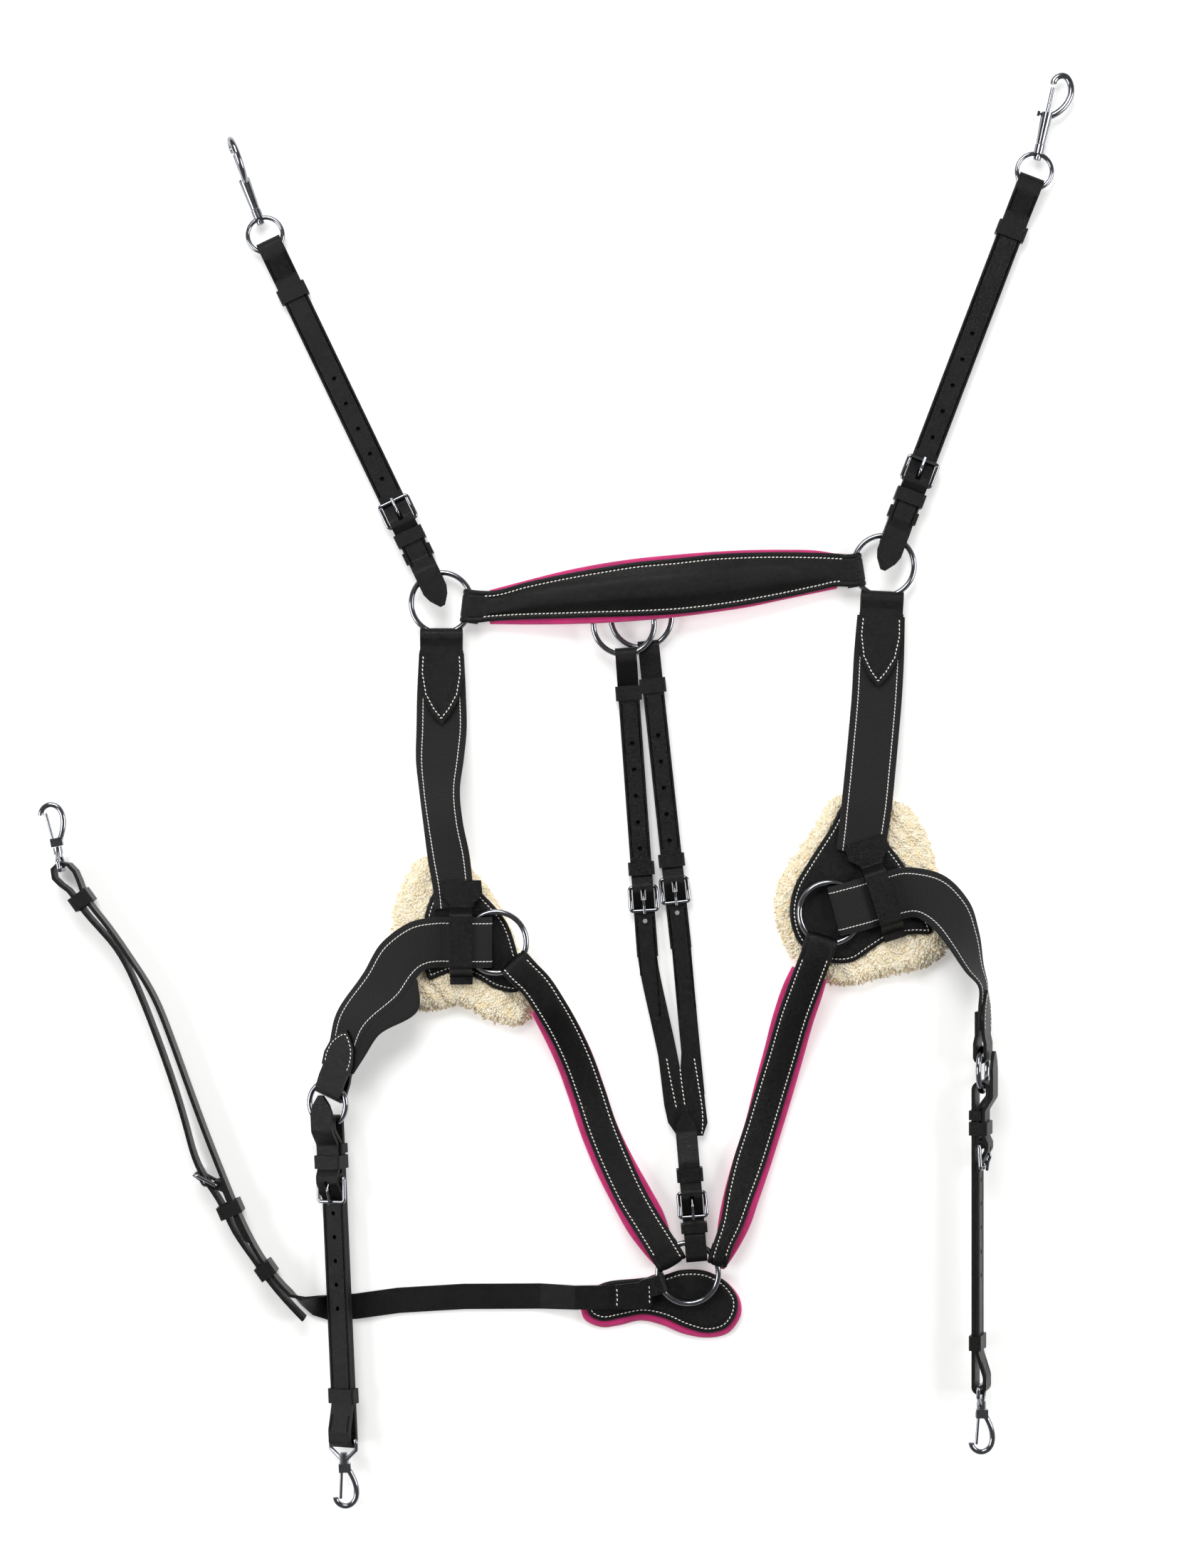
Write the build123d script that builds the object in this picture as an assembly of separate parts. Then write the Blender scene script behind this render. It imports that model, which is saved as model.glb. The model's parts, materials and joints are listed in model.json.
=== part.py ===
"""Five-point horse breastplate laid flat: straps, webbing, pads, rings, buckles and snaps.

Frame: the origin is on the underside of the chest pad, +Y runs toward the withers,
+X to the right of the laid-out piece, +Z out of the outer face.
"""
import math
import os

from build123d import *

os.makedirs("parts", exist_ok=True)

# ---- driving dimensions (mm) ----
LEATHER = 2.6        # strap leather thickness
STRAP_W = 19.0       # harness strap width
ARM_W = 16.0         # martingale arm width
WEB_W = 38.0         # elastic webbing width
WEB_T = 2.0          # elastic webbing thickness
RING_OD = 50.0       # main rings, outside
RING_WIRE = 4.2      # main ring wire
GIRTH_RING_OD = 37.0
EYE_OD = 30.0        # round swivel eye, outside
EYE_WIRE = 3.5
BUCKLE_WIRE = 3.0
BUCKLE_LEN = 18.0    # bar centre to front wire centre
KEEPER_T = 1.6       # keeper leather
HOLE_D = 3.4         # billet holes
FLEECE_T = 14.0      # sheepskin depth
PADDING = 5.0        # padded lining depth
UPPER_LEFT = 304.5   # ring centre to strap fold
UPPER_RIGHT = 315.4
GIRTH_LEFT = 259.6
GIRTH_RIGHT = 243.5
GAP = 0.3            # free space between neighbours

# ---- derived ----
RING_R = (RING_OD - RING_WIRE) / 2
GIRTH_R = (GIRTH_RING_OD - RING_WIRE) / 2
WIRE_R = RING_WIRE / 2
EYE_R = (EYE_OD - EYE_WIRE) / 2
BW = BUCKLE_WIRE / 2
CHAPE_R = BW + 2.0
FOLD_IN = WIRE_R + 0.5
FOLD_R = FOLD_IN + LEATHER / 2
BASE = KEEPER_T + GAP + 0.1


def loop_in(ring_r, width):
    """Inner radius and offset of a loop that can roll about a curved ring wire."""
    sag = ring_r - math.sqrt(ring_r ** 2 - (width / 2) ** 2)
    return WIRE_R + sag / 2 + 0.55, ring_r - sag / 2


UP_IN, UP_S = loop_in(RING_R, STRAP_W)
GI_IN, GI_S = loop_in(GIRTH_R, STRAP_W)
SADDLE_Z = UP_IN + LEATHER + BASE
WITHER_B_Z = FOLD_R + LEATHER / 2 + 0.4
WITHER_A_Z = WITHER_B_Z + FOLD_R + LEATHER / 2 + GAP + WIRE_R
PAD_MID_Z = WITHER_A_Z + WIRE_R + LEATHER + 3 * GAP
PAD_TOP = FLEECE_T + LEATHER + 0.2
SHOULDER_Z = PAD_TOP + GAP + LEATHER + FOLD_IN
CHEST_TOP = PADDING + LEATHER + 0.4
CHEST_Z = CHEST_TOP + GAP + LEATHER / 2 + FOLD_R

# ---- layout points (mm) ----
SADDLE_L = (-166.9, 530.3)
SADDLE_R = (167.4, 558.4)
WITHER_A = (-29.2, 514.0)
WITHER_B = (-15.9, 519.6)
SHOULDER_L = (-125.3, 274.3)
SHOULDER_R = (125.8, 296.5)
CHEST_C = (19.4, 24.3)
GIRTH_L = (-252.5, 152.3)
GIRTH_RT = (241.0, 178.5)
GIRTH_L_Z = 14.5
GIRTH_RT_Z = GIRTH_RING_OD / 2 + 1.0
UP_L_DIR = 115.6
UP_R_DIR = 69.1
GI_L_DIR = -87.5
GI_R_DIR = -90.0
GI_L_TILT = 30.0
GI_R_TILT = -72.0


# ---- shape helpers ----
def frame_at(xy, z, heading, tilt=0.0):
    return Pos(xy[0], xy[1], z) * Rot(0, 0, heading) * Rot(tilt, 0, 0)


def strip(points, radii, thick):
    """Closed outline of a bent strap: a line with rounded corners given a thickness."""
    pts = [Vector(*p) for p in points]
    dirs = [(b - a).normalized() for a, b in zip(pts, pts[1:])]
    sides = []
    for sign in (1, -1):
        rail = []
        fillets = []
        for i, p in enumerate(pts):
            if i == 0 or i == len(pts) - 1:
                d = dirs[0] if i == 0 else dirs[-1]
                rail.append(p + Vector(-d.Y, d.X) * (sign * thick / 2))
                continue
            a = dirs[i - 1]
            b = dirs[i]
            n1 = Vector(-a.Y, a.X)
            n2 = Vector(-b.Y, b.X)
            m = n1 + n2
            rail.append(p + m * (sign * thick / m.dot(m)))
            turn = 1 if a.X * b.Y - a.Y * b.X > 0 else -1
            fillets.append(radii[i - 1] - sign * turn * thick / 2)
        sides.append((rail, fillets))
    left, left_r = sides[0]
    right, right_r = sides[1]
    one = FilletPolyline(*left, radius=left_r)
    two = FilletPolyline(*reversed(right), radius=list(reversed(right_r)))
    ends = [Line(one @ 1, two @ 0), Line(two @ 1, one @ 0)]
    return make_face(one.edges() + two.edges() + ends)


def side_strap(points, radii, thick, width):
    """Strap drawn from its side (x along, y up) and given its width across."""
    return Rot(90, 0, 0) * extrude(strip(points, radii, thick), width / 2, both=True)


def plan(points, z0, z1, smooth=True):
    """Flat panel cut to an outline."""
    if smooth:
        edge = Edge.make_spline([Vector(*p) for p in points], periodic=True)
        face = Face(Wire([edge]))
    else:
        face = Face(Wire.make_polygon([Vector(*p) for p in points], close=True))
    return Pos(0, 0, z0) * extrude(face, z1 - z0, dir=(0, 0, 1))


def band(stations, thick, crown=0.0):
    """Ribbon through stations (x, y, z of underside centre, width, roll)."""
    mids = [Vector(s[0], s[1], s[2]) for s in stations]
    wires = []
    for i, s in enumerate(stations):
        a = mids[max(i - 1, 0)]
        b = mids[min(i + 1, len(mids) - 1)]
        d = (b - a).normalized()
        side = Vector(-d.Y, d.X, 0).normalized()
        up = d.cross(side)
        c = math.cos(math.radians(s[4]))
        k = math.sin(math.radians(s[4]))
        across = side * c + up * k
        out = up * c - side * k
        h = across * (s[3] / 2)
        p = mids[i]
        ring = [p - h, p + h, p + h + out * thick]
        if crown:
            ring += [p + h * 0.5 + out * (thick + crown), p - h * 0.5 + out * (thick + crown)]
        ring.append(p - h + out * thick)
        wires.append(Wire.make_polygon(ring, close=True))
    return Solid.make_loft(wires, ruled=True)


def torus_at(xy, z, ring_r, extra=0.0, tilt=Rot(0, 0, 0)):
    return Pos(xy[0], xy[1], z) * tilt * Torus(ring_r, WIRE_R + extra)


def rod(points, radii, d):
    """Round wire bent along a line with rounded corners."""
    line = FilletPolyline(*points, radius=radii)
    start = Plane(origin=line @ 0, z_dir=line % 0)
    return sweep(start * Circle(d / 2), path=line)


def keeper(s, length, z0, z1, width):
    """Leather keeper loop round a stack of layers between z0 and z1."""
    w = width + 2 * GAP
    h = z1 - z0 + 2 * GAP
    mid = (z0 + z1) / 2
    outer = extrude(Plane.YZ * RectangleRounded(w + 2 * KEEPER_T, h + 2 * KEEPER_T, 1.5), length / 2, both=True)
    inner = extrude(Plane.YZ * RectangleRounded(w, h, 0.3), length, both=True)
    return Pos(s, 0, mid) * (outer - inner)


def tip_cut(end, width, length, z0, z1):
    """Two wedges that trim a strap end at x = end to a point toward -x."""
    h = width / 2 + 1
    top = [(end - 1, 1.2), (end + length * 0.45, width / 2 - 2.2), (end + length, h), (end - 1, h)]
    a = plan(top, z0, z1, smooth=False)
    b = plan([(x, -y) for x, y in reversed(top)], z0, z1, smooth=False)
    return a + b


def chape(bar_s, bar_z, width):
    """Leather rolled round a buckle bar, slotted for the tongue."""
    roll = Pos(bar_s, 0, bar_z) * Rot(90, 0, 0) * Cylinder(CHAPE_R, width)
    bore = Pos(bar_s, 0, bar_z) * Rot(90, 0, 0) * Cylinder(BW + 0.15, width + 2)
    slot = Pos(bar_s + 2.0, 0, bar_z) * Box(2 * CHAPE_R, 4.6, 2 * CHAPE_R + 1)
    return roll, bore, slot


def buckle_frame(bar_s, bar_z, front_z, width):
    """Rectangular wire frame with rounded corners, tilted to lie on the strap."""
    hw = width / 2 + 0.6 + BW
    line = (Pos(BUCKLE_LEN / 2, 0, 0) * RectangleRounded(BUCKLE_LEN, 2 * hw, 2.1)).wire()
    wire = sweep(Plane(origin=line @ 0, z_dir=line % 0) * Circle(BW), path=line)
    lift = math.degrees(math.asin((front_z - bar_z) / BUCKLE_LEN))
    return Pos(bar_s, 0, bar_z) * Rot(0, -lift, 0) * wire


def buckle_tongue(bar_s, bar_z, front_z):
    """Tongue hinged on the bar, up through the billet and resting on the front wire."""
    rest = front_z - bar_z + BW + 1.15
    path = [(1.6, 0, 1.6), (9.0, 0, 6.3), (13.5, 0, rest + 0.9), (BUCKLE_LEN + 2.0, 0, rest)]
    arm = rod(path, [3.0, 3.0], 2.2)
    hub = Rot(90, 0, 0) * (Cylinder(BW + 1.5, 3.2) - Cylinder(BW + 0.2, 4))
    clear = Rot(90, 0, 0) * Cylinder(BW + 0.2, 4)
    return Pos(bar_s, 0, bar_z) * (hub + (arm - clear))


# ---- self-buckling doubled strap, built along +x from a ring centre at the origin ----
def strap_plan(length, bar, k2_back, k2_len, ring_in, ring_s, tip, eye_half):
    t = LEATHER
    top = -ring_in
    p = {"t": t, "bar": bar, "length": length, "tip": tip, "eye_half": eye_half}
    p["loop_r"] = ring_in + t / 2
    p["loop_s"] = ring_s
    p["back"] = top - t / 2
    p["front"] = top + GAP + t / 2
    p["bar_z"] = top + GAP + CHAPE_R
    p["front_wire_z"] = top + 2 * GAP + t + BW
    p["over"] = p["bar_z"] + CHAPE_R + GAP + t / 2
    p["mid"] = top + 3 * GAP + t + KEEPER_T + t / 2
    p["tip_z"] = ring_in + t + GAP + t / 2
    p["k1"] = bar - 12.0
    p["k2"] = bar - 12.0 - k2_back
    p["k2_len"] = k2_len
    p["eye_z"] = top + eye_half
    p["eye_s"] = length - t - eye_half
    return p


UP_EYE = EYE_WIRE / 2 + 1.55
GI_EYE = 3.0
UPPER_BAR = UP_S + 45.5
GIRTH_BAR = GI_S + 41.0
UP_L = strap_plan(UPPER_LEFT, UPPER_BAR, 14.0, 9.0, UP_IN, UP_S, -3.0, UP_EYE)
UP_R = strap_plan(UPPER_RIGHT, UPPER_BAR, 14.0, 9.0, UP_IN, UP_S, -4.0, UP_EYE)
GI_L = strap_plan(GIRTH_LEFT, GIRTH_BAR, 10.0, 7.0, GI_IN, GI_S, -7.0, GI_EYE)
GI_R = strap_plan(GIRTH_RIGHT, GIRTH_BAR, 10.0, 7.0, GI_IN, GI_S, -14.0, GI_EYE)


def doubled_strap(p, first_hole, pitch, count):
    t = p["t"]
    rl = p["loop_r"]
    re = p["eye_half"] + t / 2
    sl = p["loop_s"]
    end = p["length"] - t / 2
    bar = p["bar"]
    pts = [(bar, p["front"]), (sl + 15, p["front"]), (sl + 4, rl), (sl - rl, rl), (sl - rl, -rl)]
    rad = [5.0, 5.0, rl * 0.98, rl * 0.98]
    pts += [(end, -rl), (end, -rl + 2 * re), (end - 12, -rl + 2 * re), (end - 30, p["front"])]
    rad += [re * 0.98, re * 0.98, 10.0, 10.0]
    pts += [(bar + 16.5, p["front"]), (bar + 3.5, p["over"]), (bar - 1.0, p["over"])]
    rad += [4.0, 3.0, 3.0]
    pts += [(bar - 6.3, p["mid"]), (p["k2"] - p["k2_len"] / 2, p["mid"]), (sl + 5.5, p["tip_z"])]
    rad += [3.0, 5.0, 5.0]
    pts.append((p["tip"], p["tip_z"]))
    body = side_strap(pts, rad, t, STRAP_W)
    roll, bore, slot = chape(bar, p["bar_z"], STRAP_W)
    body = body + (roll - bore)
    keep_over = Pos(bar, 0, p["bar_z"] - 0.3) * Box(2.4 * CHAPE_R, 4.6, 2 * CHAPE_R + 0.4)
    body = body - keep_over
    body = body - bore
    billet = Pos(bar + 6.0, 0, p["over"] - 2.0) * Box(8.0, 3.8, 9.0)
    body = body - billet
    body = body - tip_cut(p["tip"], STRAP_W, 16.0, p["tip_z"] - t, p["tip_z"] + t)
    for i in range(count):
        s = first_hole + i * pitch
        body = body - Pos(s, 0, p["front"]) * Cylinder(HOLE_D / 2, t + 0.2)
    return body


def strap_keepers(p):
    t = p["t"]
    low = p["back"] - t / 2
    out = keeper(p["k1"], 10.0, low, p["mid"] + t / 2, STRAP_W)
    out += keeper(p["k2"], p["k2_len"], low, p["front"] + t / 2, STRAP_W)
    out += keeper(p["length"] - 44.0, 11.0, low, p["front"] + t / 2, STRAP_W)
    return out


def girth_keepers(p):
    t = p["t"]
    low = p["back"] - t / 2
    out = keeper(p["k1"], 10.0, low, p["mid"] + t / 2, STRAP_W)
    out += keeper(p["k2"], p["k2_len"], low, p["front"] + t / 2, STRAP_W)
    out += keeper(p["length"] - 38.5, 11.0, low, p["front"] + t / 2, STRAP_W)
    return out


# ---- snaps, built along +x ----
def bolt_eye():
    """Round swivel eye with its boss; origin at the eye centre."""
    far = EYE_R + EYE_WIRE / 2
    boss = Pos(far + 1.8, 0, 0) * Rot(0, 90, 0) * Cylinder(3.8, 7.0)
    bore = Pos(far, 0, 0) * Rot(0, 90, 0) * Cylinder(1.9, 20.0)
    return (Torus(EYE_R, EYE_WIRE / 2) + boss) - bore


def bolt_hook():
    far = EYE_R + EYE_WIRE / 2
    head = Pos(far - 5.0, 0, 0) * Rot(0, 90, 0) * Cylinder(2.9, 2.2)
    stem = Pos(far + 2.0, 0, 0) * Rot(0, 90, 0) * Cylinder(1.6, 17.0)
    barrel = Pos(33.0, 0, 0) * Rot(0, 90, 0) * Cone(3.4, 4.4, 24.0)
    path = Spline((43.0, -2.6), (50.0, -10.0), (60.0, -14.2), (70.0, -12.6), (75.2, -6.6), (72.6, -1.2), (67.5, 0))
    bow = sweep(Plane(origin=path @ 0, z_dir=path % 0) * Circle(2.5), path=path)
    bore = Pos(38.0, 0, 0) * Rot(0, 90, 0) * Cylinder(1.8, 22.0)
    slot = Pos(38.0, 3.5, 0) * Box(18.0, 7.0, 2.6)
    return ((barrel + bow) - bore - slot) + stem + head


def bolt_slider():
    rod_body = Pos(53.0, 0, 0) * Rot(0, 90, 0) * Cylinder(1.55, 23.4)
    post = Pos(43.4, 3.2, 0) * Rot(90, 0, 0) * Cylinder(0.95, 5.2)
    knob = Pos(43.4, 6.4, 0) * Rot(90, 0, 0) * Cylinder(2.2, 2.0)
    return rod_body + post + knob


def gate_eye():
    """Flat swivel eye whose straight bar sits in the strap fold; origin on the bar."""
    hw = STRAP_W / 2 + 1.9
    ring = [(0, hw), (7.0, hw), (14.0, 3.0), (14.0, -3.0), (7.0, -hw), (0, -hw)]
    line = FilletPolyline(*ring, radius=1.8, close=True).wire()
    wire = sweep(Plane(origin=line @ 0, z_dir=line % 0) * Circle(1.55), path=line)
    boss = Pos(14.8, 0, 0) * Rot(0, 90, 0) * Cylinder(3.5, 5.6)
    bore = Pos(14.0, 0, 0) * Rot(0, 90, 0) * Cylinder(1.8, 12.0)
    return (wire + boss) - bore


def gate_hook():
    head = Pos(10.6, 0, 0) * Rot(0, 90, 0) * Cylinder(2.7, 2.0)
    stem = Pos(15.0, 0, 0) * Rot(0, 90, 0) * Cylinder(1.5, 9.0)
    base = Pos(21.2, 0.4, 0) * Box(6.4, 9.0, 5.6)
    path = Spline((23.0, 3.2), (30.0, 6.6), (40.0, 8.4), (47.0, 6.0), (50.0, 0.0), (47.6, -5.6), (43.0, -7.6))
    bow = sweep(Plane(origin=path @ 0, z_dir=path % 0) * Circle(2.1), path=path)
    seat = Pos(23.5, -2.2, 0) * Box(6.6, 4.4, 2.9)
    return ((base + bow) - seat) + stem + head + Pos(22.3, -2.2, 0) * Cylinder(0.8, 5.0)


def gate_bar():
    """Sprung gate hinged at the hook base, closing inside the hook tip."""
    eye = Pos(22.3, -2.2, 0) * (Cylinder(1.8, 2.6) - Cylinder(1.0, 3.0))
    arm = Pos(34.0, -3.0, 0) * Rot(0, 0, -4.3) * Rot(0, 90, 0) * Cylinder(1.15, 20.4)
    return eye + arm


# ---- folds round fixed rings: U opening toward +x, built from the ring centre ----
def ring_fold(fold_s, width, upper, lower, up_reach, low_reach, ring_r=RING_R, t=LEATHER):
    r = WIRE_R + 0.5 + t / 2
    flat = ring_r + WIRE_R + 1.5
    pts = [(up_reach, upper), (flat + 6, upper), (flat, r), (fold_s + t / 2, r)]
    pts += [(fold_s + t / 2, -r), (flat, -r), (flat + 6, lower), (low_reach, lower)]
    rad = [2.0, 2.0, r * 0.98, r * 0.98, 2.0, 2.0]
    if abs(upper - r) < 0.01:
        del pts[1:3]
        del rad[0:2]
    if abs(lower + r) < 0.01:
        del pts[-3:-1]
        del rad[-2:]
    return side_strap(pts, rad, t, width) - Torus(ring_r, WIRE_R + 0.35)


def section(loc, width, thick):
    h = width / 2
    v = thick / 2
    corners = [Vector(0, -h, -v), Vector(0, h, -v), Vector(0, h, v), Vector(0, -h, v)]
    return loc * Wire.make_polygon(corners, close=True)


def web(sections, thick=WEB_T):
    return Solid.make_loft([section(loc, w, thick) for loc, w in sections], ruled=True)


def at(x, y, z, heading, roll=0.0):
    return Pos(x, y, z) * Rot(0, 0, heading) * Rot(roll, 0, 0)


SADDLE_L_F = frame_at(SADDLE_L, SADDLE_Z, UP_L_DIR)
SADDLE_R_F = frame_at(SADDLE_R, SADDLE_Z, UP_R_DIR)
GIRTH_L_F = frame_at(GIRTH_L, GIRTH_L_Z, GI_L_DIR, GI_L_TILT)
GIRTH_R_F = frame_at(GIRTH_RT, GIRTH_RT_Z, GI_R_DIR, GI_R_TILT)
TAB_L_F = frame_at(SADDLE_L, SADDLE_Z, -90)
TAB_R_F = frame_at(SADDLE_R, SADDLE_Z, -93)
GTAB_L_F = GIRTH_L_F * Rot(0, 0, 158)
GTAB_R_F = GIRTH_R_F * Rot(0, 0, 180)
LEAF = WEB_T / 2 + GAP + LEATHER / 2


def pointed_leaf(s0, s1, width, mid):
    """Pointed front leaf of a tab between two stations, centred on level mid."""
    h = width / 2
    span = s1 - s0
    side = [(s0, h - 0.8), (s0 + span * 0.3, h), (s0 + span * 0.62, h * 0.82), (s0 + span * 0.86, h * 0.4)]
    pts = side + [(s1, 0.0)] + [(x, -y) for x, y in reversed(side)]
    return plan(pts, mid - LEATHER / 2, mid + LEATHER / 2, smooth=False)


def shoulder_tab():
    fold = ring_fold(19.0, 32.0, LEAF, -LEAF, 44.0, 62.0)
    return fold + pointed_leaf(36.0, 92.0, WEB_W - 3.4, LEAF)


def girth_tab():
    fold = ring_fold(5.0, 23.0, LEAF, -LEAF, 34.0, 44.0, ring_r=GIRTH_R)
    return fold + pointed_leaf(28.0, 60.0, 27.0, LEAF)


def elastic_end_tabs():
    girth = girth_tab()
    tab = shoulder_tab()
    return [TAB_L_F * tab, TAB_R_F * tab, GTAB_L_F * girth, GTAB_R_F * girth]


WEB_ON_PAD = PAD_TOP + GAP + WEB_T / 2


def shoulder_elastic_left():
    return web([
        (TAB_L_F * Pos(38, 0, 0), WEB_W - 4),
        (TAB_L_F * Pos(95, 0, 0), WEB_W),
        (at(-168.5, 408, 13, -90, 24), WEB_W),
        (at(-167.5, 384, 17, -86, 34), WEB_W),
        (at(-163.5, 354, 20, -82, 20), WEB_W),
        (at(-159.5, 326, WEB_ON_PAD + 0.1, -84), WEB_W - 4),
        (at(-156.5, 300, WEB_ON_PAD + 0.1, -86), WEB_W - 8),
    ])


def shoulder_elastic_right():
    return web([
        (TAB_R_F * Pos(38, 0, 0), WEB_W - 2),
        (TAB_R_F * Pos(95, 0, 0), WEB_W),
        (at(159.5, 432, 10.5, -95), WEB_W),
        (at(156.0, 400, 15, -97), WEB_W),
        (at(153.0, 374, 19, -99), WEB_W),
        (at(151.0, 356, WEB_ON_PAD + 0.1, -100), WEB_W - 1),
        (at(148.5, 340, WEB_ON_PAD + 0.1, -103), WEB_W - 2),
    ])


SH_L_WEB = frame_at(SHOULDER_L, SHOULDER_Z, 180)
SH_R_WEB = frame_at(SHOULDER_R, SHOULDER_Z, 15)
WEB_FOLD_R = WIRE_R + 0.5 + WEB_T / 2
WEB_LOW = -WEB_FOLD_R
WEB_UP = WEB_LOW + WEB_T + GAP


def girth_fold():
    return ring_fold(3.0, WEB_W, WEB_UP, WEB_LOW, 46.0, 43.0, t=WEB_T)


def girth_elastic_left():
    run = web([
        (SH_L_WEB * Pos(44, 0, WEB_UP), WEB_W),
        (at(-184, 271.5, 21, 196, 2), WEB_W),
        (at(-198, 261, 21.5, 222, 10), WEB_W),
        (at(-209.5, 243, 23, 240, 22), WEB_W),
        (GTAB_L_F * Pos(64, 0, 0) * Rot(0, 0, 180), 30.0),
        (GTAB_L_F * Pos(30, 0, 0) * Rot(0, 0, 180), 25.0),
    ])
    return SH_L_WEB * girth_fold() + run


def girth_elastic_right():
    run = web([
        (SH_R_WEB * Pos(44, 0, WEB_UP), WEB_W),
        (at(186, 312, 21, 6, 0), WEB_W),
        (at(203, 308, 21.5, -24, -8), WEB_W),
        (at(217, 295, 22, -50, -24), WEB_W),
        (at(227, 275, 22, -68, -45), WEB_W),
        (at(235, 254, 21, -78, -62), 34.0),
        (GTAB_R_F * Pos(64, 0, 0) * Rot(0, 0, 180), 30.0),
        (GTAB_R_F * Pos(30, 0, 0) * Rot(0, 0, 180), 25.0),
    ])
    return SH_R_WEB * girth_fold() + run


# ---- shoulder pads ----
FLEECE_L_PTS = [
    (-174, 338), (-188, 331), (-197, 314), (-202, 297), (-203, 275), (-202, 255), (-200, 240),
    (-193, 229), (-180, 223.5), (-166, 224), (-154, 227), (-141, 222), (-129, 215), (-115, 212),
    (-103, 214), (-98.5, 221), (-102, 236), (-108, 262), (-116, 286), (-130, 311), (-148, 331), (-160, 338),
]
LEATHER_L_PTS = [
    (-166, 320), (-173, 311), (-179, 295), (-181, 275), (-180, 258), (-176, 246), (-168, 248.5),
    (-157, 251.5), (-142, 248), (-126, 239), (-110, 236.5), (-106, 246), (-110, 268), (-118, 290),
    (-134, 309), (-149, 322),
]
FLEECE_R_PTS = [
    (133, 383), (125, 376), (115, 359), (101, 339), (91, 323), (86.5, 307), (86.5, 291), (91, 279),
    (98, 264), (110, 251), (128, 243), (149, 243), (164, 248), (182, 252), (198, 255), (209, 262),
    (216, 272), (218, 291), (215, 307), (208, 326), (200, 353), (188, 372), (175, 380), (154, 386),
]
LEATHER_R_PTS = [
    (136, 378), (127, 361), (111, 336), (100, 317), (96, 298), (99, 281), (106, 270), (118, 261),
    (132, 258), (145, 260), (157, 268), (172, 277), (188, 280), (203, 281), (200, 294), (191, 317),
    (181, 334), (170, 349), (160, 368), (148, 377),
]


def shoulder_fleece(points):
    return plan(points, 0.3, FLEECE_T)


def shoulder_pad(points):
    return plan(points, FLEECE_T + 0.2, PAD_TOP)


GUIDE_T = 2.2


def elastic_guide():
    """T-shaped guide: wide head sewn over the webbing end, strap over the girth webbing."""
    head = PAD_TOP + 3 * GAP + WEB_T + GUIDE_T / 2
    over = SHOULDER_Z + WEB_FOLD_R + WEB_T / 2 + 2 * GAP + GUIDE_T / 2
    low = PAD_TOP + GAP + GUIDE_T / 2
    half = WEB_W / 2 + 0.6
    pts = [(-46, head), (-half - 6, head), (-half - 0.2, over), (half + 0.2, over), (half + 6.5, low)]
    pts.append((half + 13, low))
    run = side_strap(pts, [2.5, 2.5, 2.5, 2.5], GUIDE_T, 17.0)
    tee = plan([(-46, -15), (-46, 15), (-35, 16), (-27, 8), (-27, -8), (-35, -16)],
               head - GUIDE_T / 2, head + GUIDE_T / 2, smooth=False)
    return run + tee


def elastic_guides():
    one = elastic_guide()
    return [at(-151.5, 275, 0, -90) * one, at(165.5, 307.5, 0, -72) * one]


# ---- chest straps ----
CH_R_SH = frame_at(SHOULDER_R, SHOULDER_Z, -108)
CH_L_SH = frame_at(SHOULDER_L, SHOULDER_Z, -48)
CH_R_CH = frame_at(CHEST_C, CHEST_Z, 12)
CH_L_CH = frame_at(CHEST_C, CHEST_Z, 140)
CHEST_W = 24.0
CHEST_LINING_W = 28.0
LOW = PADDING + 1.2
CHEST_R_RUN = [
    (107.5, 243, 20.5), (98.5, 217, 15.5), (91, 190, 10), (82.5, 161, LOW), (74, 133, LOW),
    (65, 105, LOW + 1), (58, 82, 10.5), (53, 60, 14),
]
CHEST_L_RUN = [
    (-96, 243, 23.5), (-84, 225, 21), (-73.5, 206, 14), (-64, 185, 9), (-55, 160, LOW), (-46, 133, LOW),
    (-34.5, 105, LOW + 1), (-22.5, 80, 10), (-11.5, 62, 13.5),
]


def run_stations(run, width, drop=0.0, shift=0.0):
    return [(x + shift, y, z - drop, width, 0) for x, y, z in run]


def chest_strap(run, top_f, low_f, top_xy, low_xy):
    up = SHOULDER_Z + FOLD_R - LEATHER / 2
    end = CHEST_Z + FOLD_R - LEATHER / 2
    stations = [(top_xy[0], top_xy[1], up, CHEST_W, 0)] + run_stations(run, CHEST_W)
    stations.append((low_xy[0], low_xy[1], end, CHEST_W - 5, 0))
    top = top_f * ring_fold(17.5, CHEST_W, FOLD_R, -FOLD_R, 33.0, 33.0)
    low = low_f * ring_fold(17.5, 17.0, FOLD_R, -FOLD_R, 30.0, 29.0)
    return top + low + band(stations, LEATHER)


def chest_strap_left():
    return chest_strap(CHEST_L_RUN, CH_L_SH, CH_L_CH, (-106.5, 253.5), (0.0, 43.0))


def chest_strap_right():
    return chest_strap(CHEST_R_RUN, CH_R_SH, CH_R_CH, (116.6, 268.5), (47.8, 33.5))


def chest_strap_linings():
    drop = PADDING + GAP
    left = band(run_stations(CHEST_L_RUN[1:], CHEST_LINING_W, drop, -2.0), PADDING)
    right = band(run_stations(CHEST_R_RUN, CHEST_LINING_W, drop, 2.0), PADDING)
    return [left, right]


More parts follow.
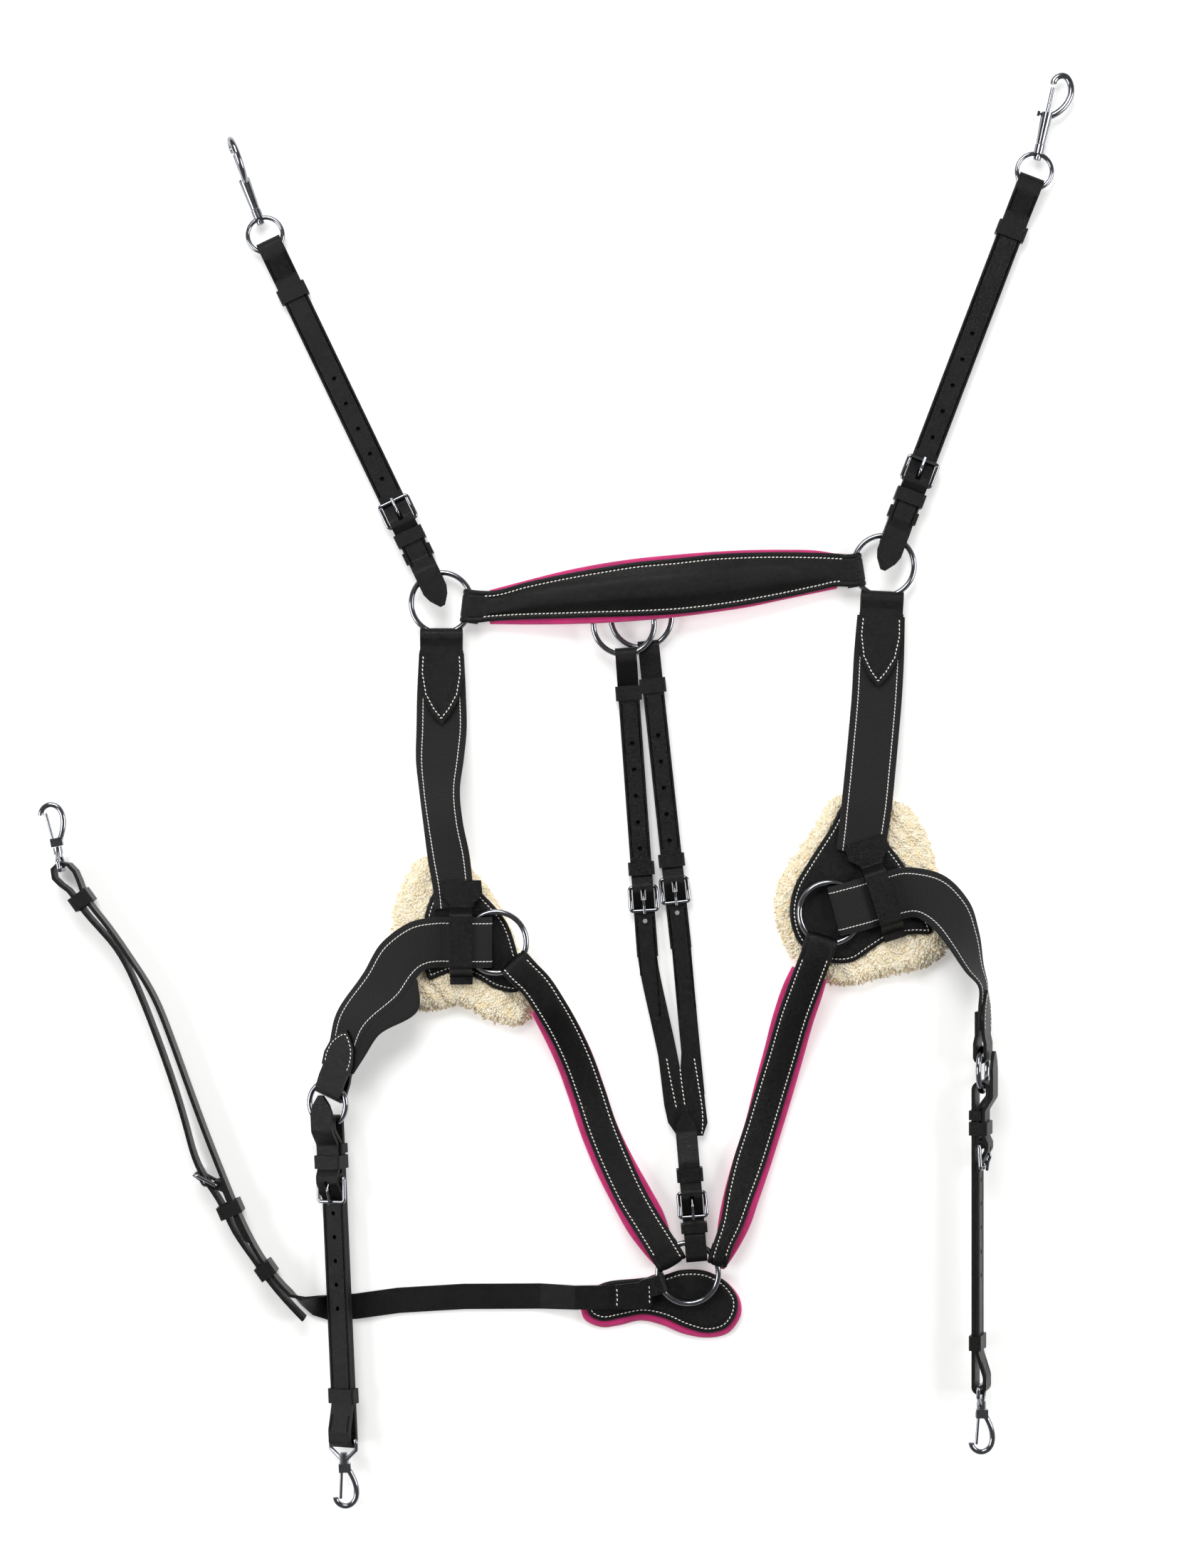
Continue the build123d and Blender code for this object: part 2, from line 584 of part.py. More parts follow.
# ---- chest pad ----
CHEST_LEATHER_PTS = [
    (-58, -2), (-54, -9.5), (-44, -13), (-30, -10.5), (-14, -7.8), (2, -11), (18, -18), (34, -22),
    (48, -18.5), (56, -8), (57, 4), (51, 14), (42, 21), (30, 25.5), (14, 25.5), (0, 21.5), (-20, 19),
    (-40, 17), (-52, 12), (-58, 5),
]
CHEST_LINING_PTS = [
    (-62, -3), (-58.5, -13), (-46, -18.5), (-32, -17), (-16, -13.5), (0, -17), (16, -23.5), (34, -26.5),
    (50, -23), (59.5, -10), (59.5, 5), (53, 16.5), (43, 23.5), (30, 27.5), (14, 27.5), (0, 23.5),
    (-20, 21), (-42, 19), (-56, 13), (-62, 6),
]
PATCH_F = frame_at(CHEST_C, CHEST_Z, 200)
BELLY_END_Z = CHEST_TOP + GAP


def chest_pad_leather():
    return plan(CHEST_LEATHER_PTS, PADDING + 0.2, CHEST_TOP)


def chest_pad_lining():
    return plan(CHEST_LINING_PTS, 0, PADDING)


def chest_pad_patch():
    """Patch over the belly strap end, folded round the chest ring."""
    z0 = BELLY_END_Z + LEATHER + GAP
    leaf = z0 + LEATHER / 2 - CHEST_Z
    fold = PATCH_F * ring_fold(17.5, 14.0, leaf, -FOLD_R, 36.0, 31.0)
    plate = plan([(-36, -3), (-36, 15), (-14, 18), (-8, 17), (-8, -1), (-14, -3)], z0, z0 + LEATHER, smooth=False)
    return fold + plate


# ---- wither pad ----
WITHER_RUN = [
    # x, lining y, leather y, underside of lining
    (-132, (514.5, 540), (516, 539), 5.4),
    (-100, (513.5, 547.5), (517.5, 545.5), 10.5),
    (-48, (513.5, 559.5), (518.5, 556.5), PAD_MID_Z),
    (4, (517, 567.5), (521.5, 564), PAD_MID_Z),
    (64, (525.5, 570), (530.5, 567), 12.0),
    (117, (537.5, 570.5), (541, 568), 6.5),
    (135, (541.5, 567.5), (543, 566.5), 5.4),
]


def cross_pad(x, ys, z, thick, crown):
    """Panel section at one station, raised along its middle by `crown`."""
    a, b = ys
    m = (a + b) / 2
    h = (b - a) / 2
    ring = [Vector(x, a, z), Vector(x, b, z), Vector(x, b, z + thick)]
    if crown:
        ring += [Vector(x, m + h * 0.62, z + thick), Vector(x, m + h * 0.35, z + thick + crown)]
        ring += [Vector(x, m - h * 0.35, z + thick + crown), Vector(x, m - h * 0.62, z + thick)]
    ring.append(Vector(x, a, z + thick))
    return Wire.make_polygon(ring, close=True)


def wither_pad_lining():
    wires = [cross_pad(x, lining, z, PADDING, 0) for x, lining, _, z in WITHER_RUN]
    return Solid.make_loft(wires, ruled=True)


def wither_pad_leather():
    top = PADDING + GAP
    wires = [cross_pad(x, leather, z + top, LEATHER, 3.0) for x, _, leather, z in WITHER_RUN]
    body = Solid.make_loft(wires, ruled=True)
    left = frame_at(SADDLE_L, SADDLE_Z, -7) * ring_fold(15.2, 25.0, FOLD_R, -FOLD_R, 35.5, 29.0)
    right = frame_at(SADDLE_R, SADDLE_Z, 189) * ring_fold(15.2, 25.0, FOLD_R, -FOLD_R, 35.5, 29.0)
    return body + left + right


def wither_ring_loop():
    """Leather loop under the pad that both wither rings hang from."""
    z0 = 0.3
    z1 = WITHER_A_Z + WIRE_R + GAP + LEATHER
    mid = (z0 + z1) / 2
    outer = extrude(Plane.YZ * RectangleRounded(24.0, z1 - z0, 4.0), 7.0, both=True)
    inner = extrude(Plane.YZ * RectangleRounded(24.0 - 2 * LEATHER, z1 - z0 - 2 * LEATHER, 1.4), 8.0, both=True)
    return Pos(-22.0, 537.5, mid) * (outer - inner)


# ---- martingale: two buckled arms, stitched body and a buckled tail ----
ARM_A_F = frame_at(WITHER_A, 0, -85.85)
ARM_B_F = frame_at((-12.7, 519.6), 0, -83.85)
ARM_BACK = BASE + LEATHER / 2
ARM_FRONT = ARM_BACK + LEATHER + GAP
ARM_BAR = 199.0
ARM_BAR_Z = ARM_BACK - LEATHER / 2 + CHAPE_R
ARM_WIRE_Z = ARM_BACK + LEATHER / 2 + GAP + BW
ARM_OVER = ARM_BAR_Z + CHAPE_R + GAP + LEATHER / 2
TAIL_F = frame_at((26.7, 24.3), CHEST_Z, 94.6)
TAIL_BAR = 61.0
TAIL_BAR_Z = -FOLD_R + LEATHER / 2 + CHAPE_R
TAIL_FRONT = -FOLD_R + LEATHER + GAP
TAIL_WIRE_Z = TAIL_FRONT + LEATHER / 2 + GAP + BW
TAIL_OVER = TAIL_BAR_Z + CHAPE_R + GAP + LEATHER / 2
TAIL_MID = TAIL_FRONT + LEATHER + GAP


def billet_slot(bar, over):
    return Pos(bar + 6.0, 0, over - 2.0) * Box(8.0, 3.8, 9.0)


def martingale_arm(ring_z, ring_off):
    fold = RING_R - FOLD_R
    pts = [(ARM_BAR, ARM_BACK), (46, ARM_BACK), (29, ring_z - FOLD_R), (fold, ring_z - FOLD_R)]
    pts += [(fold, ring_z + FOLD_R), (27.5, ring_z + FOLD_R), (46, ARM_FRONT)]
    pts += [(ARM_BAR - 8.0, ARM_FRONT), (ARM_BAR - 1.0, ARM_OVER), (ARM_BAR + 3.5, ARM_OVER)]
    pts += [(ARM_BAR + 16.5, ARM_BACK), (252.0, ARM_BACK)]
    rad = [6.0, 6.0, FOLD_R * 0.98, FOLD_R * 0.98, 6.0, 6.0, 3.0, 3.0, 3.0, 4.0]
    body = side_strap(pts, rad, LEATHER, ARM_W)
    roll, bore, slot = chape(ARM_BAR, ARM_BAR_Z, ARM_W)
    tongue_gap = Pos(ARM_BAR, 0, ARM_BAR_Z - 0.3) * Box(2.4 * CHAPE_R, 4.6, 2 * CHAPE_R + 0.4)
    body = ((body + (roll - bore)) - tongue_gap) - bore
    body = body - billet_slot(ARM_BAR, ARM_OVER)
    for s in (90, 110, 130, 150, 170):
        body = body - Pos(s, 0, ARM_FRONT) * Cylinder(HOLE_D / 2, LEATHER + 0.2)
    for s in (225, 243):
        body = body - Pos(s, 0, ARM_BACK) * Cylinder(HOLE_D / 2, LEATHER + 1)
    return body - Pos(ring_off[0], ring_off[1], ring_z) * Torus(RING_R, WIRE_R + 0.35)


def martingale_tail():
    r = FOLD_R
    drop = ARM_BACK - CHEST_Z
    pts = [(118, drop), (106, drop), (84, -r), (10, -r), (10, r), (28.5, r), (40, TAIL_FRONT)]
    pts += [(TAIL_BAR - 16.5, TAIL_FRONT), (TAIL_BAR - 3.5, TAIL_OVER), (TAIL_BAR + 1.0, TAIL_OVER)]
    pts += [(TAIL_BAR + 6.3, TAIL_MID), (84, TAIL_MID), (106, drop + LEATHER + GAP), (121, drop + LEATHER + GAP)]
    rad = [6.0, 6.0, r * 0.98, r * 0.98, 5.0, 4.0, 3.0, 3.0, 3.0, 3.0, 6.0, 6.0]
    body = side_strap(pts, rad, LEATHER, ARM_W)
    sewn = Pos(TAIL_BAR + 9.0, 0, -r + LEATHER - 0.1) * Box(18.0, ARM_W, LEATHER)
    roll, bore, slot = chape(TAIL_BAR, TAIL_BAR_Z, ARM_W)
    tongue_gap = Pos(TAIL_BAR, 0, TAIL_BAR_Z + 0.2) * Box(2.4 * CHAPE_R, 4.6, 2 * CHAPE_R)
    body = ((body + sewn + (roll - bore)) - tongue_gap) - bore
    body = body - Pos(TAIL_BAR - 6.0, 0, TAIL_OVER - 2.0) * Box(8.0, 3.8, 9.0)
    point = Pos(121 - 0.0, 0, 0) * Rot(0, 0, 180) * tip_cut(0.0, ARM_W, 15.0, drop + LEATHER / 2 + 0.1, drop + 8)
    cut = Torus(RING_R, WIRE_R + 0.35)
    body = body - point
    ring_cut = TAIL_F.inverse() * frame_at(CHEST_C, CHEST_Z, 0) * cut
    return body - ring_cut


def fork_strap():
    z0 = ARM_BACK - LEATHER / 2
    web_pts = [
        (-3.6, 192), (10.4, 192), (13.5, 170), (14.6, 192), (28.7, 192), (32.8, 150), (34.4, 137),
        (31.0, 127), (14.0, 127), (12.0, 126), (4.4, 137), (1.5, 150),
    ]
    plate = plan(web_pts, z0, z0 + LEATHER, smooth=False)
    arm_a = ARM_A_F * martingale_arm(WITHER_A_Z, (0, 0))
    arm_b = ARM_B_F * martingale_arm(WITHER_B_Z, (-0.34, -3.18))
    low_a = [(-12.0, 275), (-10.5, 258), (-4.5, 228), (3.4, 192), (9.5, 158)]
    low_b = [(13.5, 281), (15.2, 262), (18.0, 230), (21.6, 192), (25.0, 158)]
    for run in (low_a, low_b):
        ribbon = smooth_ribbon(run, ARM_W - 1.5, 16)
        plate += Pos(0, 0, z0) * extrude(ribbon, LEATHER, dir=(0, 0, 1))
    return arm_a + arm_b + plate + TAIL_F * martingale_tail()


# ---- belly strap: flat under the pad patch, then standing on edge ----
EDGE_Z = STRAP_W / 2 + 3.9
BELLY_MAIN = [
    (-281, 9.5), (-292, 21.5), (-305, 40), (-317, 63), (-330.5, 95), (-347, 137), (-362, 178), (-373, 208),
    (-384, 234), (-402, 263), (-422, 291), (-435, 309), (-440, 322), (-446.5, 332), (-455, 333.5),
    (-459.5, 327), (-455.5, 319.5), (-447, 313), (-440, 303.5), (-412, 270), (-396, 240), (-381, 202),
    (-368, 165), (-358, 131), (-350.5, 107), (-342, 92), (-333.5, 79), (-322.5, 57), (-310, 38.5),
    (-301.5, 26.5), (-291.5, 13.5), (-281, 1.5), (-270, -10),
]
BELLY_FLAT = [
    (-13, 6.5, 0, 0), (-50, 5.5, 0, 0), (-66, 5.3, 0, 0), (-92, 5.3, 1, 0), (-150, 5, 1, 0), (-200, 2, 1, 0),
    (-232, -2.5, 1, 0), (-252, -3.5, 1, 0), (-262, -1.0, 2, 34), (-271, 3.0, 2, 66), (-280, 8.6, 2, 90),
    (-284, 12.6, 2, 90),
]
BELLY_BAR = (-335.2, 91.6)
BELLY_BUCKLE = 152.0


def smooth_ribbon(points, thick, count):
    """Even ribbon along a smooth line, as a flat face."""
    line = Edge.make_spline([Vector(*p) for p in points])
    left = []
    right = []
    for i in range(count + 1):
        u = i / count
        p = line.position_at(u)
        d = line.tangent_at(u)
        n = Vector(-d.Y, d.X) * (thick / 2)
        left.append(p + n)
        right.append(p - n)
    return Face(Wire.make_polygon(left + list(reversed(right)), close=True))


def belly_strap():
    levels = {0: BELLY_END_Z + LEATHER / 2, 1: 0.4 + LEATHER / 2, 2: EDGE_Z}
    mids = []
    for i, (x, y, level, roll) in enumerate(BELLY_FLAT):
        a = BELLY_FLAT[max(i - 1, 0)]
        b = BELLY_FLAT[min(i + 1, len(BELLY_FLAT) - 1)]
        heading = math.degrees(math.atan2(b[1] - a[1], b[0] - a[0]))
        z = levels[level]
        if level == 2 and roll < 90:
            z = levels[1] + (levels[2] - levels[1]) * (roll / 80)
        mids.append((at(x, y, z, heading, -roll), STRAP_W - (1.0 if level == 0 else 0.0)))
    flat = web(mids, thick=LEATHER)
    edge = Pos(0, 0, EDGE_Z) * extrude(smooth_ribbon(BELLY_MAIN, LEATHER, 110), STRAP_W / 2, dir=(0, 0, 1), both=True)
    lap_pts = [
        (-310.1, 47.5), (-317.9, 62.5), (-329.3, 89.6), (-331.5, 94.8), (-334.6, 94.9),
        (-335.0, 88.3), (-330.9, 86.6), (-320.3, 61.3), (-314.6, 50.3),
    ]
    lap = plan(list(reversed(lap_pts)), EDGE_Z - STRAP_W / 2, EDGE_Z + STRAP_W / 2, smooth=False)
    roll = Pos(BELLY_BAR[0], BELLY_BAR[1], EDGE_Z) * Cylinder(CHAPE_R, STRAP_W)
    bore = Pos(BELLY_BAR[0], BELLY_BAR[1], EDGE_Z) * Cylinder(BW + 0.15, STRAP_W + 2)
    hub_gap = BELLY_F * Pos(1.5, 0, 0) * Box(2 * CHAPE_R + 2.0, 4.6, 2 * CHAPE_R + 1.0)
    slot = BELLY_F * Pos(6.0, 0, -3.5) * Box(9.0, 3.8, 10.0)
    body = flat + edge + lap + roll
    return body - bore - hub_gap - slot


# ---- grouped small parts of the main body ----
BELLY_F = frame_at(BELLY_BAR, EDGE_Z, BELLY_BUCKLE, 90)
TAIL_BUCKLE_F = TAIL_F * Pos(TAIL_BAR, 0, 0) * Rot(0, 0, 180)


def root_keepers():
    low = ARM_BACK - LEATHER / 2
    high = ARM_FRONT + LEATHER / 2
    arm = [keeper(52.0, 11.0, low, high, ARM_W), keeper(ARM_BAR - 14.0, 10.0, low, high, ARM_W)]
    out = [ARM_A_F * k for k in arm] + [ARM_B_F * k for k in arm]
    base = -FOLD_R - LEATHER / 2
    out.append(TAIL_F * keeper(34.5, 7.0, base, 4.4, ARM_W))
    out.append(TAIL_F * keeper(TAIL_BAR + 13.5, 10.0, base, TAIL_MID + LEATHER / 2, ARM_W))
    out.append(frame_at((-298, 27.5), EDGE_Z, 125, 90) * keeper(0, 11.0, -5.6, 3.8, STRAP_W))
    out.append(frame_at((-325.5, 73), EDGE_Z, 113.5, 90) * keeper(0, 10.0, -7.2, 6.6, STRAP_W))
    out.append(frame_at((-438, 306), EDGE_Z, 126, 90) * keeper(0, 11.0, -5.8, 6.6, STRAP_W))
    return out


def root_buckle_frames():
    arm = buckle_frame(ARM_BAR, ARM_BAR_Z, ARM_WIRE_Z, ARM_W)
    tail = buckle_frame(0, TAIL_BAR_Z, TAIL_WIRE_Z, ARM_W)
    belly = buckle_frame(0, 0, 0, STRAP_W)
    return [ARM_A_F * arm, ARM_B_F * arm, TAIL_BUCKLE_F * tail, BELLY_F * belly]


def root_buckle_tongues():
    arm = buckle_tongue(ARM_BAR, ARM_BAR_Z, ARM_WIRE_Z)
    tail = buckle_tongue(0, TAIL_BAR_Z, TAIL_WIRE_Z)
    belly = Rot(180, 0, 0) * buckle_tongue(0, 0, 0)
    return [ARM_A_F * arm, ARM_B_F * arm, TAIL_BUCKLE_F * tail, BELLY_F * belly]


def harness_rings():
    spots = [(WITHER_A, WITHER_A_Z), (WITHER_B, WITHER_B_Z), (SHOULDER_L, SHOULDER_Z)]
    spots += [(SHOULDER_R, SHOULDER_Z), (CHEST_C, CHEST_Z)]
    return [torus_at(xy, z, RING_R) for xy, z in spots]


# ==== build ====
def save(name, shape):
    """Write one named piece; a list becomes one node holding several solids."""
    if isinstance(shape, list):
        shape = Compound(children=[s for s in shape])
    export_step(shape, f"parts/{name}.step")


def save_strap(side, where, p, frame, first, pitch, keepers):
    save(f"{side}_strap_{where}", frame * doubled_strap(p, first, pitch, 5))
    save(f"{side}_keepers_{where}", frame * keepers(p))
    args = (p["bar"], p["bar_z"], p["front_wire_z"])
    save(f"{side}_buckle_frame_{where}", frame * buckle_frame(*args, STRAP_W))
    save(f"{side}_buckle_tongue_{where}", frame * buckle_tongue(*args))


EYE_L_F = SADDLE_L_F * Pos(UPPER_LEFT + 4.0, 0, UP_L["eye_z"]) * Rot(0, 0, -4.7)
EYE_R_F = SADDLE_R_F * Pos(UPPER_RIGHT + 4.0, 0, UP_R["eye_z"]) * Rot(0, 0, 8.5)
GATE_L_F = GIRTH_L_F * Pos(GI_L["eye_s"], 0, GI_L["eye_z"])
GATE_R_F = GIRTH_R_F * Pos(GI_R["eye_s"], 0, GI_R["eye_z"])
GATE_B_F = frame_at((-453.2, 328.6), EDGE_Z, 101, 90)
HOOK_L_ROLL = -80.0


def main():
    save("wither_pad_leather", wither_pad_leather())
    save("wither_pad_lining", wither_pad_lining())
    save("wither_ring_loop", wither_ring_loop())
    save("elastic_end_tabs", elastic_end_tabs())
    save("shoulder_elastic_left", shoulder_elastic_left())
    save("shoulder_elastic_right", shoulder_elastic_right())
    save("shoulder_pad_left", shoulder_pad(LEATHER_L_PTS))
    save("shoulder_pad_right", shoulder_pad(LEATHER_R_PTS))
    save("shoulder_fleece_left", shoulder_fleece(FLEECE_L_PTS))
    save("shoulder_fleece_right", shoulder_fleece(FLEECE_R_PTS))
    save("elastic_guides", elastic_guides())
    save("girth_elastic_left", girth_elastic_left())
    save("girth_elastic_right", girth_elastic_right())
    save("chest_strap_left", chest_strap_left())
    save("chest_strap_right", chest_strap_right())
    save("chest_strap_linings", chest_strap_linings())
    save("chest_pad_leather", chest_pad_leather())
    save("chest_pad_lining", chest_pad_lining())
    save("chest_pad_patch", chest_pad_patch())
    save("fork_strap", fork_strap())
    save("belly_strap", belly_strap())
    save("strap_keepers", root_keepers())
    save("buckle_frames", root_buckle_frames())
    save("buckle_tongues", root_buckle_tongues())
    save("harness_rings", harness_rings())
    save("saddle_ring_left", SADDLE_L_F * Torus(RING_R, WIRE_R))
    save("saddle_ring_right", SADDLE_R_F * Torus(RING_R, WIRE_R))
    save("girth_ring_left", GIRTH_L_F * Torus(GIRTH_R, WIRE_R))
    save("girth_ring_right", GIRTH_R_F * Torus(GIRTH_R, WIRE_R))
    save_strap("upper", "left", UP_L, SADDLE_L_F, 104.0, 21.0, strap_keepers)
    save_strap("upper", "right", UP_R, SADDLE_R_F, 104.0, 21.0, strap_keepers)
    save_strap("girth", "left", GI_L, GIRTH_L_F, 83.0, 18.0, girth_keepers)
    save_strap("girth", "right", GI_R, GIRTH_R_F, 83.0, 18.0, girth_keepers)
    left_roll = Rot(HOOK_L_ROLL, 0, 0)
    save("upper_snap_eye_left", EYE_L_F * bolt_eye())
    save("upper_snap_hook_left", EYE_L_F * left_roll * bolt_hook())
    save("upper_snap_bolt_left", EYE_L_F * left_roll * bolt_slider())
    save("upper_snap_eye_right", EYE_R_F * bolt_eye())
    save("upper_snap_hook_right", EYE_R_F * bolt_hook())
    save("upper_snap_bolt_right", EYE_R_F * bolt_slider())
    flat_l = Rot(-GI_L_TILT, 0, 0)
    flat_r = Rot(-GI_R_TILT, 0, 0)
    flat_b = Rot(-90, 0, 0)
    save("girth_snap_eye_left", GATE_L_F * gate_eye())
    save("girth_snap_hook_left", GATE_L_F * flat_l * gate_hook())
    save("girth_snap_gate_left", GATE_L_F * flat_l * gate_bar())
    save("girth_snap_eye_right", GATE_R_F * gate_eye())
    save("girth_snap_hook_right", GATE_R_F * flat_r * gate_hook())
    save("girth_snap_gate_right", GATE_R_F * flat_r * gate_bar())
    save("belly_snap_eye", GATE_B_F * gate_eye())
    save("belly_snap_hook", GATE_B_F * flat_b * Rot(180, 0, 0) * gate_hook())
    save("belly_snap_gate", GATE_B_F * flat_b * Rot(180, 0, 0) * gate_bar())


if __name__ == "__main__":
    main()
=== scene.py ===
import json
import math
import random

import bpy
import numpy as np
from bpy.props import FloatProperty, FloatVectorProperty, IntProperty, PointerProperty, StringProperty
from mathutils import Matrix, Vector
from mathutils.bvhtree import BVHTree
from mathutils.geometry import delaunay_2d_cdt

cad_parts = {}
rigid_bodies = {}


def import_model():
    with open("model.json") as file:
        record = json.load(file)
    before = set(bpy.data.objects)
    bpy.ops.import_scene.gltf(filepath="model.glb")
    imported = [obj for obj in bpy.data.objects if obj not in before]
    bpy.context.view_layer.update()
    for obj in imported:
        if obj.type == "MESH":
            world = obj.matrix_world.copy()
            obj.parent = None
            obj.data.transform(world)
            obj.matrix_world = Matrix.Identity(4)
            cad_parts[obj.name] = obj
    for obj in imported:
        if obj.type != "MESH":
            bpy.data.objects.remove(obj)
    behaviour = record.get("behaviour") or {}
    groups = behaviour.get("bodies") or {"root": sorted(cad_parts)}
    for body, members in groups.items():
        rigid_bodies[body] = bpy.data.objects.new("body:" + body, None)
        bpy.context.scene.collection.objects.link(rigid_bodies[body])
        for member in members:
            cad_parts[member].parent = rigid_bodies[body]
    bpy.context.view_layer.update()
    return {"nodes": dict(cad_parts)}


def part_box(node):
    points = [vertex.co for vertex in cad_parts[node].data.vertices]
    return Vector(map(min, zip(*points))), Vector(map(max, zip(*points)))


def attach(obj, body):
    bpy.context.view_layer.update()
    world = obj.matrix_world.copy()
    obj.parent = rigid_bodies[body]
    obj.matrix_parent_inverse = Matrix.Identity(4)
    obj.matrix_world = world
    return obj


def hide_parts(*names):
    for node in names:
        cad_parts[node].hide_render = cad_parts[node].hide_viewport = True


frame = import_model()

bl_info = {
    "name": "Breastplate",
    "version": (1, 0, 0),
    "blender": (4, 5, 0),
    "location": "3D View > Sidebar > Breastplate",
    "description": "Leather, lining, elastic and sheepskin of a five-point breastplate",
    "category": "Object",
}

MM = 0.001
BLACK = (0.0, 0.0, 0.0, 1.0)
WHITE = (1.0, 1.0, 1.0, 1.0)
WAVE_REPEATS = 3.18  # bands of a wave texture over one unit at scale 1
TABLE_HALF = 6.0     # metres from the middle of the table to its edge
TABLE_DROP = 0.0006  # metres from the underside of the piece down to the table
EYE_HEIGHT = 2.5     # metres from the table up to the camera
VIEW_HEIGHT = 1.1896  # metres of the table from the top to the bottom of the view
SENSOR = 36.0


# ---- places taken from the frame, in millimetres ----
def middle(node):
    low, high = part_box(node)
    return [(a + b) / 2 / MM for a, b in zip(low, high)]


def top_of(node):
    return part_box(node)[1][2] / MM


LEATHER = 2.6
WEB_T = 2.0
WEB_W = 38.0
PADDING = 5.0
FOLD_IN = 2.6        # inside radius of a fold round a ring
WITHER_SEAM = 3.9    # seams and woven lines, from the edge
CHEST_SEAM = 3.2
WEB_LINE = 4.8
SADDLE_L = middle("saddle_ring_left")
SADDLE_R = middle("saddle_ring_right")
GIRTH_L = middle("girth_ring_left")
GIRTH_R = middle("girth_ring_right")
SHOULDER_L = (-125.3, 274.3, 22.3)
SHOULDER_R = (125.8, 296.5, 22.3)
CHEST_RING = (19.4, 24.3, 13.5)
FLEECE_TOP = top_of("shoulder_fleece_left")
PAD_TOP = top_of("shoulder_pad_left")
WEB_ON_PAD = PAD_TOP + 0.4 + WEB_T / 2


# ---- settings a maker would change ----
def hex_colour(text):
    """sRGB hex to the linear values the shaders take."""
    parts = [int(text[i:i + 2], 16) / 255 for i in (0, 2, 4)]
    return [c / 12.92 if c <= 0.04045 else ((c + 0.055) / 1.055) ** 2.4 for c in parts] + [1.0]


def colour(name, text, words):
    return FloatVectorProperty(name=name, description=words, default=hex_colour(text), size=4, subtype="COLOR",
                               min=0.0, max=1.0)


def length(name, value, words):
    return FloatProperty(name=name, description=words, default=value * MM, unit="LENGTH", min=0.0)


class BreastplateColours(bpy.types.PropertyGroup):
    leather: colour("Leather", "030303", "Drum-dyed black of the straps and pads")
    leather_worn: colour("Leather highlights", "0e0d0d", "Where wax and handling lighten the black")
    lining: colour("Lining", "c4286f", "Brushed nylon lining")
    lining_shade: colour("Lining shade", "a8215e", "Lining where the nap lies the other way")
    webbing: colour("Webbing", "1d1d1e", "Elastic webbing")
    # Painted shade: the darker colour laid into the grooves between the webbing's ribs.
    webbing_groove_shade: colour("Webbing rib", "0b0b0c", "Grooves between the ribs of the webbing")
    fleece: colour("Fleece", "fff0d6", "Tips of the sheepskin")
    fleece_root: colour("Fleece root", "f8deb0", "Sheepskin down between the curls")
    thread: colour("Thread", "f2efe9", "Waxed sewing thread")
    chrome: colour("Chrome", "8e9095", "Plated rings, buckles and snaps")
    floor: colour("Floor", "f6f6f5", "Table the piece lies on")


class BreastplateSizes(bpy.types.PropertyGroup):
    grain: length("Leather grain", 1.1, "Distance between the pores of the leather")
    nap: length("Lining nap", 0.9, "Size of the pile of the lining")
    rib: length("Webbing rib", 1.5, "Distance from rib to rib across the webbing")
    stitch: length("Stitch pitch", 3.0, "Distance from stitch to stitch")
    thread: length("Thread", 0.85, "Thickness of the thread")
    curl: length("Fleece curl", 4.0, "Length of one curl of fleece")
    seam: length("Seam margin", 3.4, "Distance from the leather's edge to the seam")
    curls: IntProperty(name="Curls", description="Curls on each shoulder pad", default=5600, min=100)
    seed: IntProperty(name="Seed", description="Start of the fleece's random order", default=7)
    body: StringProperty(name="Body", description="Body that the sewn parts ride on", default="harness")


def colours():
    return bpy.context.scene.breastplate_colours


def sizes():
    return bpy.context.scene.breastplate_sizes


# ---- finishes ----
def add_node(tree, kind, settings=None, values=None, links=None):
    """Adds one node with its settings, socket values and incoming links."""
    node = tree.nodes.new(kind)
    for key, value in (settings or {}).items():
        setattr(node, key, value)
    for key, value in (values or {}).items():
        node.inputs[key].default_value = value
    for key, source in (links or {}).items():
        tree.links.new(source, node.inputs[key])
    return node


def finish_named(name):
    """Material made once, by a function that fills its tree and returns the shader."""
    def wrap(fill):
        def get():
            material = bpy.data.materials.get(name)
            if not material:
                material = bpy.data.materials.new(name)
                material.use_nodes = True
                tree = material.node_tree
                tree.nodes.clear()
                add_node(tree, "ShaderNodeOutputMaterial", links={"Surface": fill(tree).outputs["BSDF"]})
            return material
        return get
    return wrap


def coordinate(tree, kind="Object"):
    return add_node(tree, "ShaderNodeTexCoord").outputs[kind]


def noise(tree, where, scale, detail, **more):
    """Noise texture; more holds its other inputs."""
    return add_node(tree, "ShaderNodeTexNoise", values={"Scale": scale, "Detail": detail, **more},
                    links={"Vector": where}).outputs["Fac"]


def blend(tree, source, *stops):
    """Ramp through its position and colour stops."""
    ramp = add_node(tree, "ShaderNodeValToRGB", links={"Fac": source})
    for element, (position, tint) in zip(ramp.color_ramp.elements, stops):
        element.position = position
        element.color = tint
    return ramp.outputs["Color"]


def add_share(tree, source, share, base):
    """A share of one height on top of another."""
    return add_node(tree, "ShaderNodeMath", {"operation": "MULTIPLY_ADD"}, {1: share},
                    {0: source, 2: base}).outputs["Value"]


